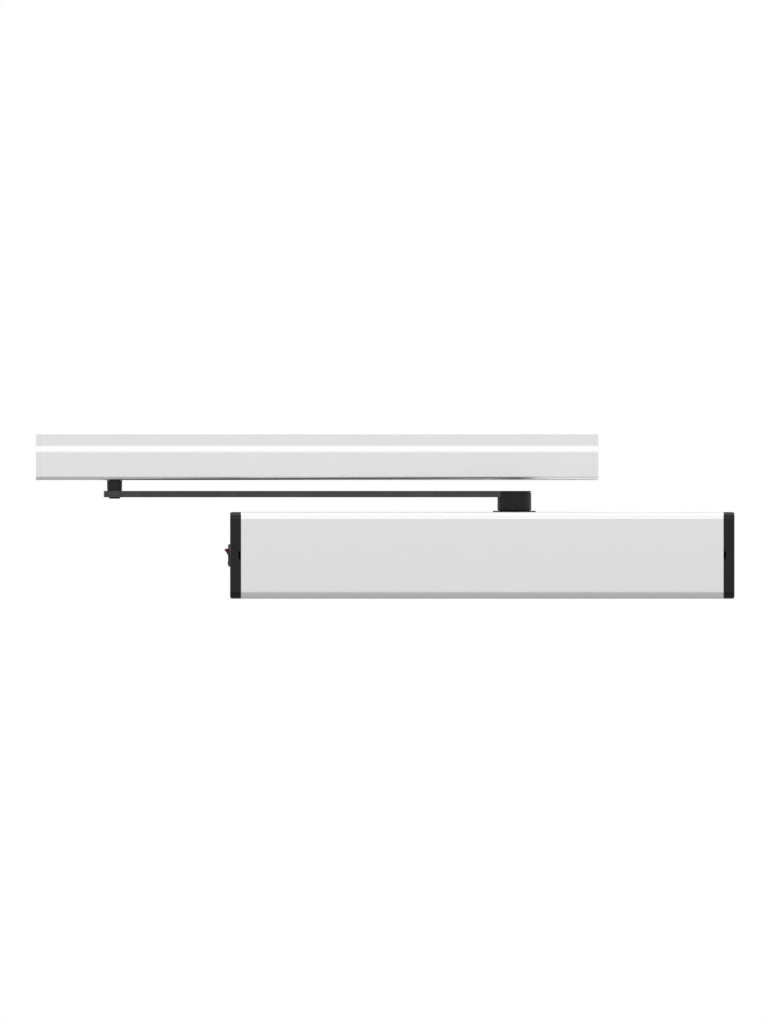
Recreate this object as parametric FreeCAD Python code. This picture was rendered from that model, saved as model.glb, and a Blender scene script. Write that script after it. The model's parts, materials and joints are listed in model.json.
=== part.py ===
"""Swing door operator with its arm and slide rail, in millimetres.

The origin is the centre of the base plate's back face, on the wall. +X runs to the right along
the operator, +Y into the wall and +Z up. Each function makes one sub-part and saves its pieces.
"""

import FreeCAD, Part
import math
import os

Vec = FreeCAD.Vector
X_AXIS = Vec(1, 0, 0)
Y_AXIS = Vec(0, 1, 0)
Z_AXIS = Vec(0, 0, 1)

# Clearances
seat_gap = 0.02  # between pieces pressed or clamped together
running_gap = 0.04  # radial, between a shaft and its bush
side_gap = 0.3  # between a moving piece and a fixed one beside it
over = 1.0  # by which a cutter runs past the face that it cuts

# Housing
body_length = 520.0
body_height = 89.5
body_depth = 106.0
corner_radius = 7.5  # front edges of the cover and the end caps
cover_wall = 2.0
cap_thick = 11.25
cap_wall = 3.0
cap_back_wall = 2.0
cap_rim_rounding = 2.0
cap_notch_height = 8.2
cap_notch_depth = 2.4
cap_notch_inset = 12.0  # how far the notch runs back from the front face

# Base plate, with its wall fixings and cable entry
plate_thick = 3.0
plate_edge_gap = 0.5  # between the base plate's edges and the cover
flange_thick = 2.5
flange_end_gap = 0.5  # between the flanges and the end caps
flange_front_room = 46.0  # between the flanges' front edges and the body's front
flange_edge_room = 6.75  # between the flanges' ends and the cover's inside
switch_way_room = 2.0  # round the switch's barrel in the left flange
wall_hole_radius = 3.2
wall_hole_inset_x = 35.0  # from the body's ends
wall_hole_inset_z = 11.75  # from the body's top and bottom
entry_inset = 17.0  # of the cable entry from the cover's left end
entry_z = 0.0
entry_radius = 8.0
grommet_bore_radius = 5.0
grommet_lip = 2.0
earth_stud_z = -16.0
earth_stud_radius = 2.5
earth_stud_length = 14.0
earth_nut_height = 4.0
earth_nut_flats = 8.0

# Screws
cap_screw_radius = 2.0
cap_screw_length = 14.0
cap_screw_head_radius = 3.6
cap_screw_head_height = 2.0
cap_screw_sink = 0.2  # of the heads' tops below the caps' faces
cap_screw_inset = 7.0  # from the flanges' ends
cap_screw_boss_wall = 1.5
cross_length = 4.8
cross_width = 1.0
cross_depth = 1.0
head_room = 0.2  # round a sunk screw head
small_screw_radius = 2.0
small_screw_head_radius = 3.5
small_screw_head_height = 2.4
small_screw_drive_radius = 1.6

# Spindle and its holes in the cover
spindle_x = 33.3
spindle_radius = 12.0
spindle_top_gap = 1.75  # between the spindle's upper end and the cover's inside
spindle_bottom_gap = 4.75
socket_side = 12.0
socket_depth = 18.0
cover_hole_radius = 17.0
ring_radius = 22.1
ring_thick = 1.25
ring_rounding = 0.25
ring_skirt = 2.0
ring_boss_radius = 16.0  # of the low boss that fits in the hub's recess
ring_boss_height = 0.5
plug_wall = 2.0
plug_lip = 1.5  # of the plug's inner rim beyond the hole
plug_lip_thick = 1.0

# Gearbox
gearbox_floor_share = 0.28  # of the cover's inner half height, down to the bottom plate
gearbox_top_gap = 4.75  # between the top plate and the cover's inside
gearbox_plate_thick = 5.0
gearbox_left_reach = 50.3  # from the spindle's axis
gearbox_right_reach = 39.7  # from the motor's axis
gearbox_front_gap = 5.0  # between the plates and the cover's inside
gearbox_corner_radius = 6.0
gearbox_flange_height = 16.0
gearbox_flange_thick = 3.0
gearbox_screw_inset = 14.0  # of the outer flange screws from the plates' ends
gearbox_screw_rise = 6.0  # of the screws above a flange's lower edge
pillar_radius = 5.0
pillar_inset = 8.0
pillar_screw_length = 14.0
bush_wall = 2.5
bush_flange_thick = 1.5
bush_flange_extra = 2.5
pressure_angle = math.radians(25.0)
backlash = 0.05  # share of the module by which each tooth is thinner
addendum = 1.0  # in modules
dedendum = 1.25  # in modules
rim_share = 3.5  # of a wheel's toothed rim under its pitch circle, in modules
web_share = 0.75  # thickness of a wheel's web, as a share of its width
web_hole_share = 0.28  # radius of a wheel's lightening holes, as a share of the free web
web_holes = 6
pinion_teeth = 14
stage_modules = (1.0, 1.5, 2.0)  # first to third stage, counted from the motor
wheel_teeth = (60, 50, 40)
stage_low_shares = (0.05, 0.25, 0.525)  # of the room between the plates
stage_width_shares = (0.15, 0.225, 0.4)
idler_shaft_radii = (4.0, 6.0)
idler_end_gap = 0.2  # of the idlers' shafts inside the plates' outer faces
wheel_hub_extra = 5.0
gear_collar_wall = 2.0  # of the output gear's long collar between the spindle's bushes

# Stop cam and buffers under the gearbox
cam_drop = 7.0  # of the cam under the bottom plate
cam_thick = 12.0
cam_disc_radius = 19.0
cam_lobe_radius = 34.0
cam_lobe_half_angle = 15.0
cam_rest_angle = -58.0  # middle of the lobe with the door closed
opening_angle = 115.0
buffer_radius = 6.0
buffer_ring_radius = 28.0
buffer_stud_radius = 3.0
buffer_head_radius = 5.0
buffer_head_height = 4.0

# Motor
can_radius = 32.0
can_wall = 2.0
can_floor_gap = 1.25  # between the can and the cover's inside
can_ear_reach = 4.5  # of the ears' screws outside the can
can_ear_radius = 6.0
can_ear_thick = 3.0
can_screw_length = 8.0
motor_screws = 3
stator_core_wall = 4.0
stator_teeth = 9
stator_bore_radius = 17.6
stator_rise = 6.5  # of the stator over the can's floor
stator_height = 13.0
tooth_width = 4.5
coil_thick = 2.2
coil_inner_gap = 1.8  # between a coil and its tooth's end
coil_outer_gap = 0.6  # between a coil and the core
rotor_radius = 16.8
motor_shaft_radius = 3.0
motor_shaft_proud = 1.0  # over the pinion
motor_foot_bush = 4.0

# Controller board
entry_bay = 35.0  # between the cover's left end and the power supply
bay_gap = 10.0  # between the power supply and the board
board_gap = 9.0  # between the board and the gearbox
board_edge_room = 5.75  # between the board's edges and the cover's inside
board_thick = 1.6
board_screw_inset = 5.0
standoff_height = 9.0
standoff_radius = 3.2
board_columns = 3
capacitor_inset = 16.0  # of the first capacitor's axis from the board's left edge
capacitor_margins = 45.0  # left free of capacitors along the board
capacitor_share = 0.42  # radius of a capacitor, as a share of their pitch
capacitor_drop = 15.0  # of the capacitors' axes under the board's upper edge
capacitor_height = 30.0
capacitor_rounding = 1.2
sink_inset = 12.0  # of the heat sink from the board's right edge
sink_drop = 3.0  # under the board's upper edge
sink_height_share = 0.757  # of the board's half height
sink_base = 5.0
sink_fins = 5
sink_fin_thick = 2.0
sink_fin_pitch = 5.0
sink_reach = 28.0
block_inset = 12.0
block_margins = 18.0  # left free of terminal blocks along the board
block_gap = 4.0
block_rise = 2.0  # over the board's lower edge
block_height = 11.0
block_reach = 14.0
block_ways = 4
block_way_radius = 1.8
block_way_depth = 8.0
relay_inset = 20.0
relay_margins = 30.0  # left free of relays along the board
relay_width = 18.0
relay_low_share = 0.432  # of the board's half height, down to the relays' lower faces
relay_height_share = 0.486
relay_reach = 15.0
relay_rounding = 0.8

# Power supply and leads
supply_share = 0.427  # of the length that the power supply and the board share
supply_edge_room = 9.75  # between its edges and the cover's inside
supply_depth = 62.0
supply_wall = 1.5
supply_screw_inset = 10.0
supply_slots = 9
supply_slot_inset = 10.0
supply_slot_width = 3.0
supply_slot_share = 0.6  # of the supply's half height
lead_radius = 3.0
lead_bend_share = 0.45  # of the shorter run beside a bend
mains_run = 10.0  # straight out of the switch
mains_end_run = 7.0
mains_drop = 8.0
mains_shift = 5.0
board_lead_inset = 10.0
board_lead_rise = 4.0  # over the terminal blocks
board_lead_run = 16.0
motor_lead_gap = 1.4  # between the motor lead and the buffer studs' heads
motor_lead_drop = 24.0  # under the bottom plate
motor_lead_out = 10.0  # beyond the board's right edge, where it has come down halfway
motor_lead_forward = 4.0
motor_lead_rise = 2.0
motor_lead_before = 10.0  # straight run beside the stop cam, before and after the spindle
motor_lead_after = 40.0
motor_lead_end_drop = 15.0
motor_lead_end_run = 8.0  # straight into the motor
motor_lead_end_bend = 22.0
motor_lead_end_rise = 1.0

# Mains switch in the left end cap
switch_bezel_radius = 11.65
switch_bezel_thick = 2.3
switch_bezel_rounding = 0.9
switch_barrel_radius = 10.0
switch_barrel_length = 17.0
switch_blade_length = 7.0
switch_blade_width = 4.6
switch_blade_thick = 0.8
switch_blade_pitch = 5.0
switch_blade_shift = 9.0  # of the blades' near edges from the switch's axis
rocker_half_width = 6.0
rocker_half_height = 7.9
rocker_tip_reach = 6.6  # of the rocker's tips in front of its pivot
rocker_crest = 3.8  # of its middle in front of the pivot
rocker_tail = 4.0
rocker_tail_half_height = 2.5
rocker_edge = 1.0
rocker_well_radius = 9.5
rocker_well_depth = 10.5
rocker_throw = 26.0
rocker_pivot_depth = 4.0  # behind the bezel's face
rocker_axle_radius = 1.5
rocker_axle_reach = 1.2

# Arm
arm_pin_x = -379.8
arm_pin_y = -15.5
arm_width = 22.5
arm_thick = 6.6
hub_radius = 17.5
hub_height = 20.25
hub_gap = 0.25  # between the hub and the ring
hub_chamfer = 0.6
hub_square_gap = 1.0  # between the hub's square and the socket's floor
arm_screw_radius = 4.0
arm_screw_grip = 12.0  # in the spindle's thread
arm_screw_head_radius = 6.5
arm_screw_head_height = 4.0
arm_screw_flats = 5.0
arm_screw_drive_depth = 3.0
arm_pad_width = 14.0  # flat pad on the bar's front edge at the pin
arm_pad_proud = 0.4

# Pin and slider
collar_radius = 7.8
collar_flare_radius = 8.3
collar_flare_height = 1.2
collar_groove_rise = 0.8
collar_groove_height = 0.8
collar_groove_depth = 0.4
collar_gap = 0.15  # between the collar and the rail
pin_radius = 5.5
pin_thread_depth = 14.0
pin_screw_radius = 3.0
pin_screw_length = 13.0
pin_screw_head_radius = 5.9
pin_screw_head_height = 1.5
pin_screw_chamfer = 0.8
pin_screw_drive_radius = 2.2
pin_screw_drive_depth = 0.9
circlip_thick = 1.2
circlip_radius = 7.4
circlip_play = 0.05  # over and under the circlip in its groove
circlip_groove_depth = 0.8
circlip_mouth = 3.0
circlip_land = 0.6  # of the pin over the circlip
pin_top_drop = 1.5  # of the pin's end under the top of the slider
slider_length = 44.0
slider_width_gap = 0.2
slider_rounding = 4.0
slider_relief = 0.8

# Rail
rail_left = -460.9
rail_length = 581.0
rail_rise = 11.2  # of the rail over the arm
rail_height = 47.7
rail_depth = 30.0
rail_step_depth = 0.9
rail_step_low = 27.8  # where the front's curve starts, over the rail's lower face
rail_step_bend = 33.0
rail_step_high = 36.1
rail_skin = 1.6
rail_lower_radius = 3.8
rail_upper_radius = 0.4
rail_lip_overlap = 1.0  # between the front's lower edge and the slot
track_wall = 2.5
track_front_gap = 0.4  # between the track and the front's inside
track_corner_radius = 3.0
channel_width = 21.0
channel_height = 18.2
slot_width = 12.5
rail_cap_thick = 5.0
rail_cap_rounding = 0.8
rail_cap_screw_seat = 2.6
rail_cap_screw_length = 12.0
rail_stop_length = 15.0
rail_hole_radius = 2.75
rail_hole_span = 460.0
rail_hole_rise = 36.3

# Places worked out from the sizes above
half_length = body_length / 2
half_height = body_height / 2
inner_half_height = half_height - cover_wall
cover_end = half_length - cap_thick
flange_outer = cover_end - flange_end_gap
flange_depth = body_depth - flange_front_room
flange_half_height = inner_half_height - flange_edge_room
wall_hole_x = half_length - wall_hole_inset_x
wall_hole_z = half_height - wall_hole_inset_z
entry_x = entry_inset - cover_end
spindle_y = -body_depth / 2
switch_y = -body_depth / 2
spindle_top = inner_half_height - spindle_top_gap
spindle_bottom = spindle_bottom_gap - inner_half_height
bottom_plate_low = -gearbox_floor_share * inner_half_height
bottom_plate_high = bottom_plate_low + gearbox_plate_thick
top_plate_high = inner_half_height - gearbox_top_gap
top_plate_low = top_plate_high - gearbox_plate_thick
gear_room = top_plate_low - bottom_plate_high
stage_lows = [bottom_plate_high + share * gear_room for share in stage_low_shares]
stage_widths = [share * gear_room for share in stage_width_shares]
stage_centres = [m * (teeth + pinion_teeth) / 2 for m, teeth in zip(stage_modules, wheel_teeth)]
idler_2_x = spindle_x + stage_centres[2]
idler_1_x = idler_2_x + stage_centres[1]
motor_x = idler_1_x + stage_centres[0]
gearbox_left = spindle_x - gearbox_left_reach
gearbox_right = motor_x + gearbox_right_reach
gearbox_front = -body_depth + cover_wall + gearbox_front_gap
cam_low = bottom_plate_low - cam_drop - cam_thick
can_low = can_floor_gap - inner_half_height
stator_low = can_low + can_wall + stator_rise
stator_high = stator_low + stator_height
supply_left = entry_bay - cover_end
board_right = gearbox_left - board_gap
supply_right = supply_left + supply_share * (board_right - bay_gap - supply_left)
supply_half_height = inner_half_height - supply_edge_room
board_left = supply_right + bay_gap
board_length = board_right - board_left
board_half_height = inner_half_height - board_edge_room
board_front = -plate_thick - standoff_height - board_thick
ring_top = half_height + ring_thick
boss_top = ring_top + ring_boss_height
hub_low = ring_top + hub_gap
arm_top = hub_low + hub_height
arm_low = arm_top - arm_thick
arm_length = math.hypot(arm_pin_x - spindle_x, arm_pin_y - spindle_y)
arm_angle = math.degrees(math.atan2(arm_pin_y - spindle_y, arm_pin_x - spindle_x))
rail_right = rail_left + rail_length
rail_low = arm_top + rail_rise
rail_top = rail_low + rail_height
collar_top = rail_low - collar_gap
track_low = rail_low + rail_skin
lip_top = track_low + track_wall
channel_top = lip_top + channel_height
channel_back = arm_pin_y + channel_width / 2
channel_front = arm_pin_y - channel_width / 2
slider_low = lip_top + side_gap
slider_high = channel_top - side_gap
rail_cap_screw_z = (lip_top + channel_top) / 2
pin_top = slider_high - pin_top_drop
clip_high = pin_top - circlip_land
clip_low = clip_high - circlip_thick


def box(x0, x1, y0, y1, z0, z1):
    """Block between two corners, given in any order."""
    low = Vec(min(x0, x1), min(y0, y1), min(z0, z1))
    return Part.makeBox(abs(x1 - x0), abs(y1 - y0), abs(z1 - z0), low)


def rod_x(y, z, x0, x1, radius):
    """Cylinder along X."""
    return Part.makeCylinder(radius, abs(x1 - x0), Vec(min(x0, x1), y, z), X_AXIS)


def rod_y(x, z, y0, y1, radius):
    """Cylinder along Y."""
    return Part.makeCylinder(radius, abs(y1 - y0), Vec(x, min(y0, y1), z), Y_AXIS)


def rod_z(x, y, z0, z1, radius):
    """Cylinder along Z."""
    return Part.makeCylinder(radius, abs(z1 - z0), Vec(x, y, min(z0, z1)), Z_AXIS)


def fuse(*shapes):
    """One solid from several that touch or overlap."""
    return shapes[0].multiFuse(list(shapes[1:])).removeSplitter()


def hex_prism(centre, direction, across_flats, length):
    """Hexagonal prism from the centre of one end along a direction."""
    corner = across_flats / math.sqrt(3)
    points = []
    for side in range(7):
        angle = math.radians(60 * side)
        points.append(Vec(corner * math.cos(angle), corner * math.sin(angle), 0))
    prism = Part.Face(Part.makePolygon(points)).extrude(Vec(0, 0, length))
    prism.Placement = FreeCAD.Placement(centre, FreeCAD.Rotation(Z_AXIS, direction))
    return prism


def edges_along(shape, direction, test):
    """Straight edges of a shape that run along a direction and whose middle passes a test."""
    found = []
    for edge in shape.Edges:
        if not isinstance(edge.Curve, Part.Line):
            continue
        run = edge.Vertexes[-1].Point - edge.Vertexes[0].Point
        if run.cross(direction).Length < 1e-6 and test(edge.CenterOfMass):
            found.append(edge)
    return found


def round_edges_at(shape, z):
    """Full circles of a shape that lie at a height."""
    return [edge for edge in shape.Edges if edge.Closed and abs(edge.CenterOfMass.z - z) < 1e-6]


def edges_of_end(shape, x):
    """Edges of the face at an X place, without those on the wall."""
    found = []
    for edge in shape.Edges:
        on_face = all(abs(vertex.X - x) < 1e-6 for vertex in edge.Vertexes)
        if on_face and edge.CenterOfMass.y < -0.5:
            found.append(edge)
    return found


def save(name, *solids):
    """Write the solids of one node."""
    shape = solids[0] if len(solids) == 1 else Part.makeCompound(list(solids))
    if not shape.isValid():
        raise ValueError(name + " is not valid")
    shape.exportStep("parts/" + name + ".step")
    print(name, len(shape.Solids), round(shape.Volume, 1))


def housing_block(x0, x1, inset, back):
    """Solid of the housing's outline between two X places, drawn in by a wall; back is its Y there."""
    block = box(x0, x1, -body_depth + inset, back, -half_height + inset, half_height - inset)
    front = edges_along(block, X_AXIS, lambda p: p.y < -body_depth / 2)
    return block.makeFillet(corner_radius - inset, front)


def cap_screw_places():
    """Y and Z of the two screws in each end cap."""
    z = flange_half_height - cap_screw_inset
    return [(-flange_depth / 2, -z), (-flange_depth / 2, z)]


def gearbox_screw_places():
    """X and Z of the screws through the gearbox flanges into the base plate."""
    places = []
    for x in (gearbox_left + gearbox_screw_inset, (gearbox_left + gearbox_right) / 2,
              gearbox_right - gearbox_screw_inset):
        for plate_top in (bottom_plate_high, top_plate_high):
            places.append((x, plate_top - gearbox_flange_height + gearbox_screw_rise))
    return places


def standoff_places():
    """X and Z of the four standoffs under the controller board."""
    z = board_half_height - board_screw_inset
    places = []
    for x in (board_left + board_screw_inset, board_right - board_screw_inset):
        places.append((x, -z))
        places.append((x, z))
    return places


def supply_screw_places():
    """X and Z of the two screws that hold the power supply."""
    return [(supply_left + supply_screw_inset, 0.0), (supply_right - supply_screw_inset, 0.0)]


def make_base_plate():
    """Steel plate on the wall, with a bent flange at each end that carries the end cap."""
    edge = inner_half_height - plate_edge_gap
    pieces = [box(-flange_outer, flange_outer, -plate_thick, 0, -edge, edge)]
    for side in (-1, 1):
        pieces.append(box(side * (flange_outer - flange_thick), side * flange_outer, -flange_depth, 0,
                          -flange_half_height, flange_half_height))
    plate = fuse(*pieces)
    holes = [(entry_x, entry_z, entry_radius), (entry_x, earth_stud_z, earth_stud_radius)]
    for x in (-wall_hole_x, wall_hole_x):
        for z in (-wall_hole_z, wall_hole_z):
            holes.append((x, z, wall_hole_radius))
    for x, z in gearbox_screw_places() + standoff_places() + supply_screw_places():
        holes.append((x, z, small_screw_radius + seat_gap))
    for x, z, radius in holes:
        plate = plate.cut(rod_y(x, z, -plate_thick - over, over, radius))
    plate = plate.cut(rod_x(switch_y, 0, -flange_outer - over, -flange_outer + flange_thick + over,
                            switch_barrel_radius + switch_way_room))
    for side in (-1, 1):
        for y, z in cap_screw_places():
            plate = plate.cut(rod_x(y, z, side * (flange_outer - flange_thick - over),
                                    side * (flange_outer + over), cap_screw_radius + seat_gap))
    save("base_plate", plate)


def make_cover():
    """Folded cover, open at the back, with a round hole over and under the spindle."""
    outer = housing_block(-cover_end, cover_end, 0, 0)
    inner = housing_block(-cover_end - over, cover_end + over, cover_wall, 0)
    hole = rod_z(spindle_x, spindle_y, -half_height - over, half_height + over, cover_hole_radius)
    save("cover", outer.cut(inner).cut(hole))


def make_end_caps():
    """Moulded end caps, hollow, with two screw holes and a notch for prising off the cover."""
    for side, name in ((-1, "left_end_cap"), (1, "right_end_cap")):
        outer_x = side * half_length
        inner_x = side * cover_end
        wall_x = side * (half_length - cap_wall)
        cap = housing_block(outer_x, inner_x, 0, 0)
        cap = cap.makeFillet(cap_rim_rounding, edges_of_end(cap, outer_x))
        cap = cap.cut(housing_block(inner_x - side * over, wall_x, cap_wall, -cap_back_wall))
        cap = cap.cut(box(inner_x - side * over, inner_x + side * cap_notch_depth, -body_depth - over,
                          -body_depth + cap_notch_inset, -cap_notch_height / 2, cap_notch_height / 2))
        bosses = []
        for y, z in cap_screw_places():
            bosses.append(rod_x(y, z, side * flange_outer, wall_x, cap_screw_head_radius + cap_screw_boss_wall))
        cap = fuse(cap, *bosses)
        for y, z in cap_screw_places():
            beyond = side * (half_length + over)
            cap = cap.cut(rod_x(y, z, side * (flange_outer - over), beyond, cap_screw_radius + seat_gap))
            cap = cap.cut(rod_x(y, z, side * (half_length - cap_screw_head_height), beyond,
                                cap_screw_head_radius + head_room))
        if side < 0:
            cap = cap.cut(rod_x(switch_y, 0, -half_length - over, -cover_end + over,
                                switch_barrel_radius + seat_gap))
        save(name, cap)


def make_end_cap_screws():
    """Cross-recessed screws sunk into the end caps, two in each."""
    screws = []
    for side in (-1, 1):
        face = side * (half_length - cap_screw_sink)
        seat = side * (half_length - cap_screw_head_height)
        tip = seat - side * cap_screw_length
        floor = face - side * cross_depth
        for y, z in cap_screw_places():
            head = rod_x(y, z, face, seat, cap_screw_head_radius)
            piece = fuse(head, rod_x(y, z, seat, tip, cap_screw_radius))
            for wide, high in ((cross_width, cross_length), (cross_length, cross_width)):
                piece = piece.cut(box(face + side * over, floor, y - wide / 2, y + wide / 2,
                                      z - high / 2, z + high / 2))
            screws.append(piece)
    save("end_cap_screws", *screws)


def make_spindle_hole_trims():
    """Ring round the spindle on top of the cover, and the flush plug in the unused lower hole."""
    disc = rod_z(spindle_x, spindle_y, half_height, ring_top, ring_radius)
    disc = disc.makeFillet(ring_rounding, round_edges_at(disc, ring_top))
    skirt_low = inner_half_height - ring_skirt
    skirt = rod_z(spindle_x, spindle_y, skirt_low, half_height, cover_hole_radius - seat_gap)
    bore = rod_z(spindle_x, spindle_y, skirt_low - over, boss_top + over, spindle_radius + side_gap)
    boss = rod_z(spindle_x, spindle_y, ring_top, boss_top, ring_boss_radius)
    save("spindle_ring", fuse(disc, skirt, boss).cut(bore))
    inside = -inner_half_height
    stem_top = inside + ring_skirt
    stem = rod_z(spindle_x, spindle_y, -half_height, stem_top, cover_hole_radius - seat_gap)
    lip = rod_z(spindle_x, spindle_y, inside, inside + plug_lip_thick, cover_hole_radius + plug_lip)
    hollow = rod_z(spindle_x, spindle_y, -half_height + plug_wall, stem_top + over, cover_hole_radius - plug_wall)
    save("spindle_hole_plug", fuse(stem, lip).cut(hollow))


def involute_point(base_radius, radius, turn, side):
    """Point of an involute at a radius, turned about the centre and mirrored by side."""
    roll = math.sqrt(max((radius / base_radius) ** 2 - 1, 0.0))
    swing = roll - math.atan(roll)
    return polar_point(radius, turn + side * swing)


def polar_point(radius, angle):
    """Point at a radius and an angle about the origin."""
    return Vec(radius * math.cos(angle), radius * math.sin(angle), 0)


def gear_blank(teeth, module, x, low, high, first_angle):
    """Spur gear blank with involute flanks; one tooth is centred on first_angle, in degrees."""
    pitch_radius = module * teeth / 2
    tip_radius = pitch_radius + addendum * module
    root_radius = pitch_radius - dedendum * module
    base_radius = pitch_radius * math.cos(pressure_angle)
    start_radius = max(base_radius, root_radius)
    middle_radius = (start_radius + tip_radius) / 2
    flank_swing = math.tan(pressure_angle) - pressure_angle
    half_tooth = math.pi / (2 * teeth) - backlash * module / pitch_radius + flank_swing
    outward = (start_radius, middle_radius, tip_radius)
    edges = []
    for tooth in range(teeth):
        centre = math.radians(first_angle) + 2 * math.pi * tooth / teeth
        right = centre - half_tooth
        left = centre + half_tooth
        next_right = right + 2 * math.pi / teeth
        right_flank = [involute_point(base_radius, r, right, 1) for r in outward]
        left_flank = [involute_point(base_radius, r, left, -1) for r in reversed(outward)]
        next_start = involute_point(base_radius, start_radius, next_right, 1)
        valley = polar_point(root_radius, (left + next_right) / 2)
        edges.append(Part.Arc(*right_flank).toShape())
        edges.append(Part.Arc(right_flank[2], polar_point(tip_radius, centre), left_flank[0]).toShape())
        edges.append(Part.Arc(*left_flank).toShape())
        if root_radius < base_radius:
            root_left = polar_point(root_radius, left)
            root_next = polar_point(root_radius, next_right)
            edges.append(Part.LineSegment(left_flank[2], root_left).toShape())
            edges.append(Part.Arc(root_left, valley, root_next).toShape())
            edges.append(Part.LineSegment(root_next, next_start).toShape())
        else:
            edges.append(Part.Arc(left_flank[2], valley, next_start).toShape())
    blank = Part.Face(Part.Wire(edges)).extrude(Vec(0, 0, high - low))
    blank.translate(Vec(x, spindle_y, low))
    return blank


def make_wheel(stage, x, bore_radius):
    """Toothed wheel of one stage, with a hub, a thin web and lightening holes."""
    module = stage_modules[stage]
    teeth = wheel_teeth[stage]
    low = stage_lows[stage]
    high = low + stage_widths[stage]
    web_top = low + web_share * stage_widths[stage]
    hub_outer = bore_radius + wheel_hub_extra
    rim_inner = module * (teeth / 2 - rim_share)
    wheel = gear_blank(teeth, module, x, low, high, 0.0)
    recess = rod_z(x, spindle_y, web_top, high + over, rim_inner)
    wheel = wheel.cut(recess.cut(rod_z(x, spindle_y, low, high + 2 * over, hub_outer)))
    hole_ring = (rim_inner + hub_outer) / 2
    hole_radius = web_hole_share * (rim_inner - hub_outer)
    for hole in range(web_holes):
        place = polar_point(hole_ring, math.radians(360 * (hole + 0.5) / web_holes))
        wheel = wheel.cut(rod_z(x + place.x, spindle_y + place.y, low - over, high + over, hole_radius))
    return wheel.cut(rod_z(x, spindle_y, low - over, high + over, bore_radius + seat_gap))


def pinion(stage, x, low, high):
    """Pinion of one stage, with a gap between its teeth facing the wheel on its left."""
    gap_angle = 180.0 + 180.0 / pinion_teeth
    return gear_blank(pinion_teeth, stage_modules[stage], x, low, high, gap_angle)


def make_gear_train():
    """Three stages of gears from the motor to the spindle."""
    low = bottom_plate_high + bush_flange_thick + side_gap
    high = top_plate_low - bush_flange_thick - side_gap
    collar = rod_z(spindle_x, spindle_y, low, high, spindle_radius + gear_collar_wall)
    collar = collar.cut(rod_z(spindle_x, spindle_y, low - over, high + over, spindle_radius + seat_gap))
    save("output_gear", fuse(make_wheel(2, spindle_x, spindle_radius), collar))
    for number, x, stage in ((1, idler_1_x, 0), (2, idler_2_x, 1)):
        radius = idler_shaft_radii[number - 1]
        save("idler_gear_%d" % number, make_wheel(stage, x, radius))
        wheel_top = stage_lows[stage] + stage_widths[stage]
        teeth = pinion(number, x, wheel_top, stage_lows[number] + stage_widths[number])
        shaft = rod_z(x, spindle_y, bottom_plate_low + idler_end_gap, top_plate_high - idler_end_gap, radius)
        save("idler_shaft_%d" % number, fuse(teeth, shaft))


def turn_to_arm(shape):
    """Turn a shape drawn along -X about the spindle, so that it lies along the arm."""
    shape.rotate(Vec(spindle_x, spindle_y, 0), Z_AXIS, arm_angle - 180.0)


def make_spindle():
    """Output spindle with a square socket at each end and a thread through it."""
    spindle = rod_z(spindle_x, spindle_y, spindle_bottom, spindle_top, spindle_radius)
    half = socket_side / 2
    for low, high in ((spindle_bottom - over, spindle_bottom + socket_depth),
                      (spindle_top - socket_depth, spindle_top + over)):
        socket = box(spindle_x - half, spindle_x + half, spindle_y - half, spindle_y + half, low, high)
        turn_to_arm(socket)
        spindle = spindle.cut(socket)
    thread_way = rod_z(spindle_x, spindle_y, spindle_bottom, spindle_top, arm_screw_radius + seat_gap)
    save("spindle", spindle.cut(thread_way))


def make_stop_cam():
    """Cam on the spindle, whose lobe meets a rubber buffer at each end of the travel."""
    high = cam_low + cam_thick
    disc = rod_z(spindle_x, spindle_y, cam_low, high, cam_disc_radius)
    centre = Vec(spindle_x, spindle_y, cam_low)
    lobe = Part.makeCylinder(cam_lobe_radius, cam_thick, centre, Z_AXIS, 2 * cam_lobe_half_angle)
    lobe.rotate(centre, Z_AXIS, cam_rest_angle - cam_lobe_half_angle)
    bore = rod_z(spindle_x, spindle_y, cam_low - over, high + over, spindle_radius + seat_gap)
    save("stop_cam", fuse(disc, lobe).cut(bore))


def make_stop_buffers():
    """Rubber buffers on studs under the gearbox's bottom plate."""
    spread = math.degrees(math.asin((buffer_radius + side_gap) / buffer_ring_radius))
    reach = cam_lobe_half_angle + spread
    rubbers = []
    studs = []
    for degrees in (cam_rest_angle - reach, cam_rest_angle + opening_angle + reach):
        place = polar_point(buffer_ring_radius, math.radians(degrees))
        x = spindle_x + place.x
        y = spindle_y + place.y
        rubber = rod_z(x, y, cam_low, bottom_plate_low, buffer_radius)
        way = rod_z(x, y, cam_low - over, bottom_plate_low + over, buffer_stud_radius + seat_gap)
        rubbers.append(rubber.cut(way))
        stud = rod_z(x, y, cam_low - over, bottom_plate_low, buffer_stud_radius)
        studs.append(fuse(stud, rod_z(x, y, cam_low - buffer_head_height, cam_low, buffer_head_radius)))
    save("stop_buffers", *rubbers)
    save("buffer_studs", *studs)


def screw(seat, direction, length):
    """Cylinder-head screw with a round drive; its shank runs from the seat along a direction."""
    head_end = seat - direction * small_screw_head_height
    head = Part.makeCylinder(small_screw_head_radius, small_screw_head_height, head_end, direction)
    shank = Part.makeCylinder(small_screw_radius, length, seat, direction)
    drive = Part.makeCylinder(small_screw_drive_radius, small_screw_head_height / 2, head_end, direction)
    return fuse(head, shank).cut(drive)


def pillar_places():
    """X and Y of the pillars between the gearbox plates."""
    places = []
    for x in (gearbox_left + pillar_inset, gearbox_right - pillar_inset):
        places.append((x, -plate_thick - gearbox_flange_thick - pillar_inset))
        places.append((x, gearbox_front + pillar_inset))
    return places


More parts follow.
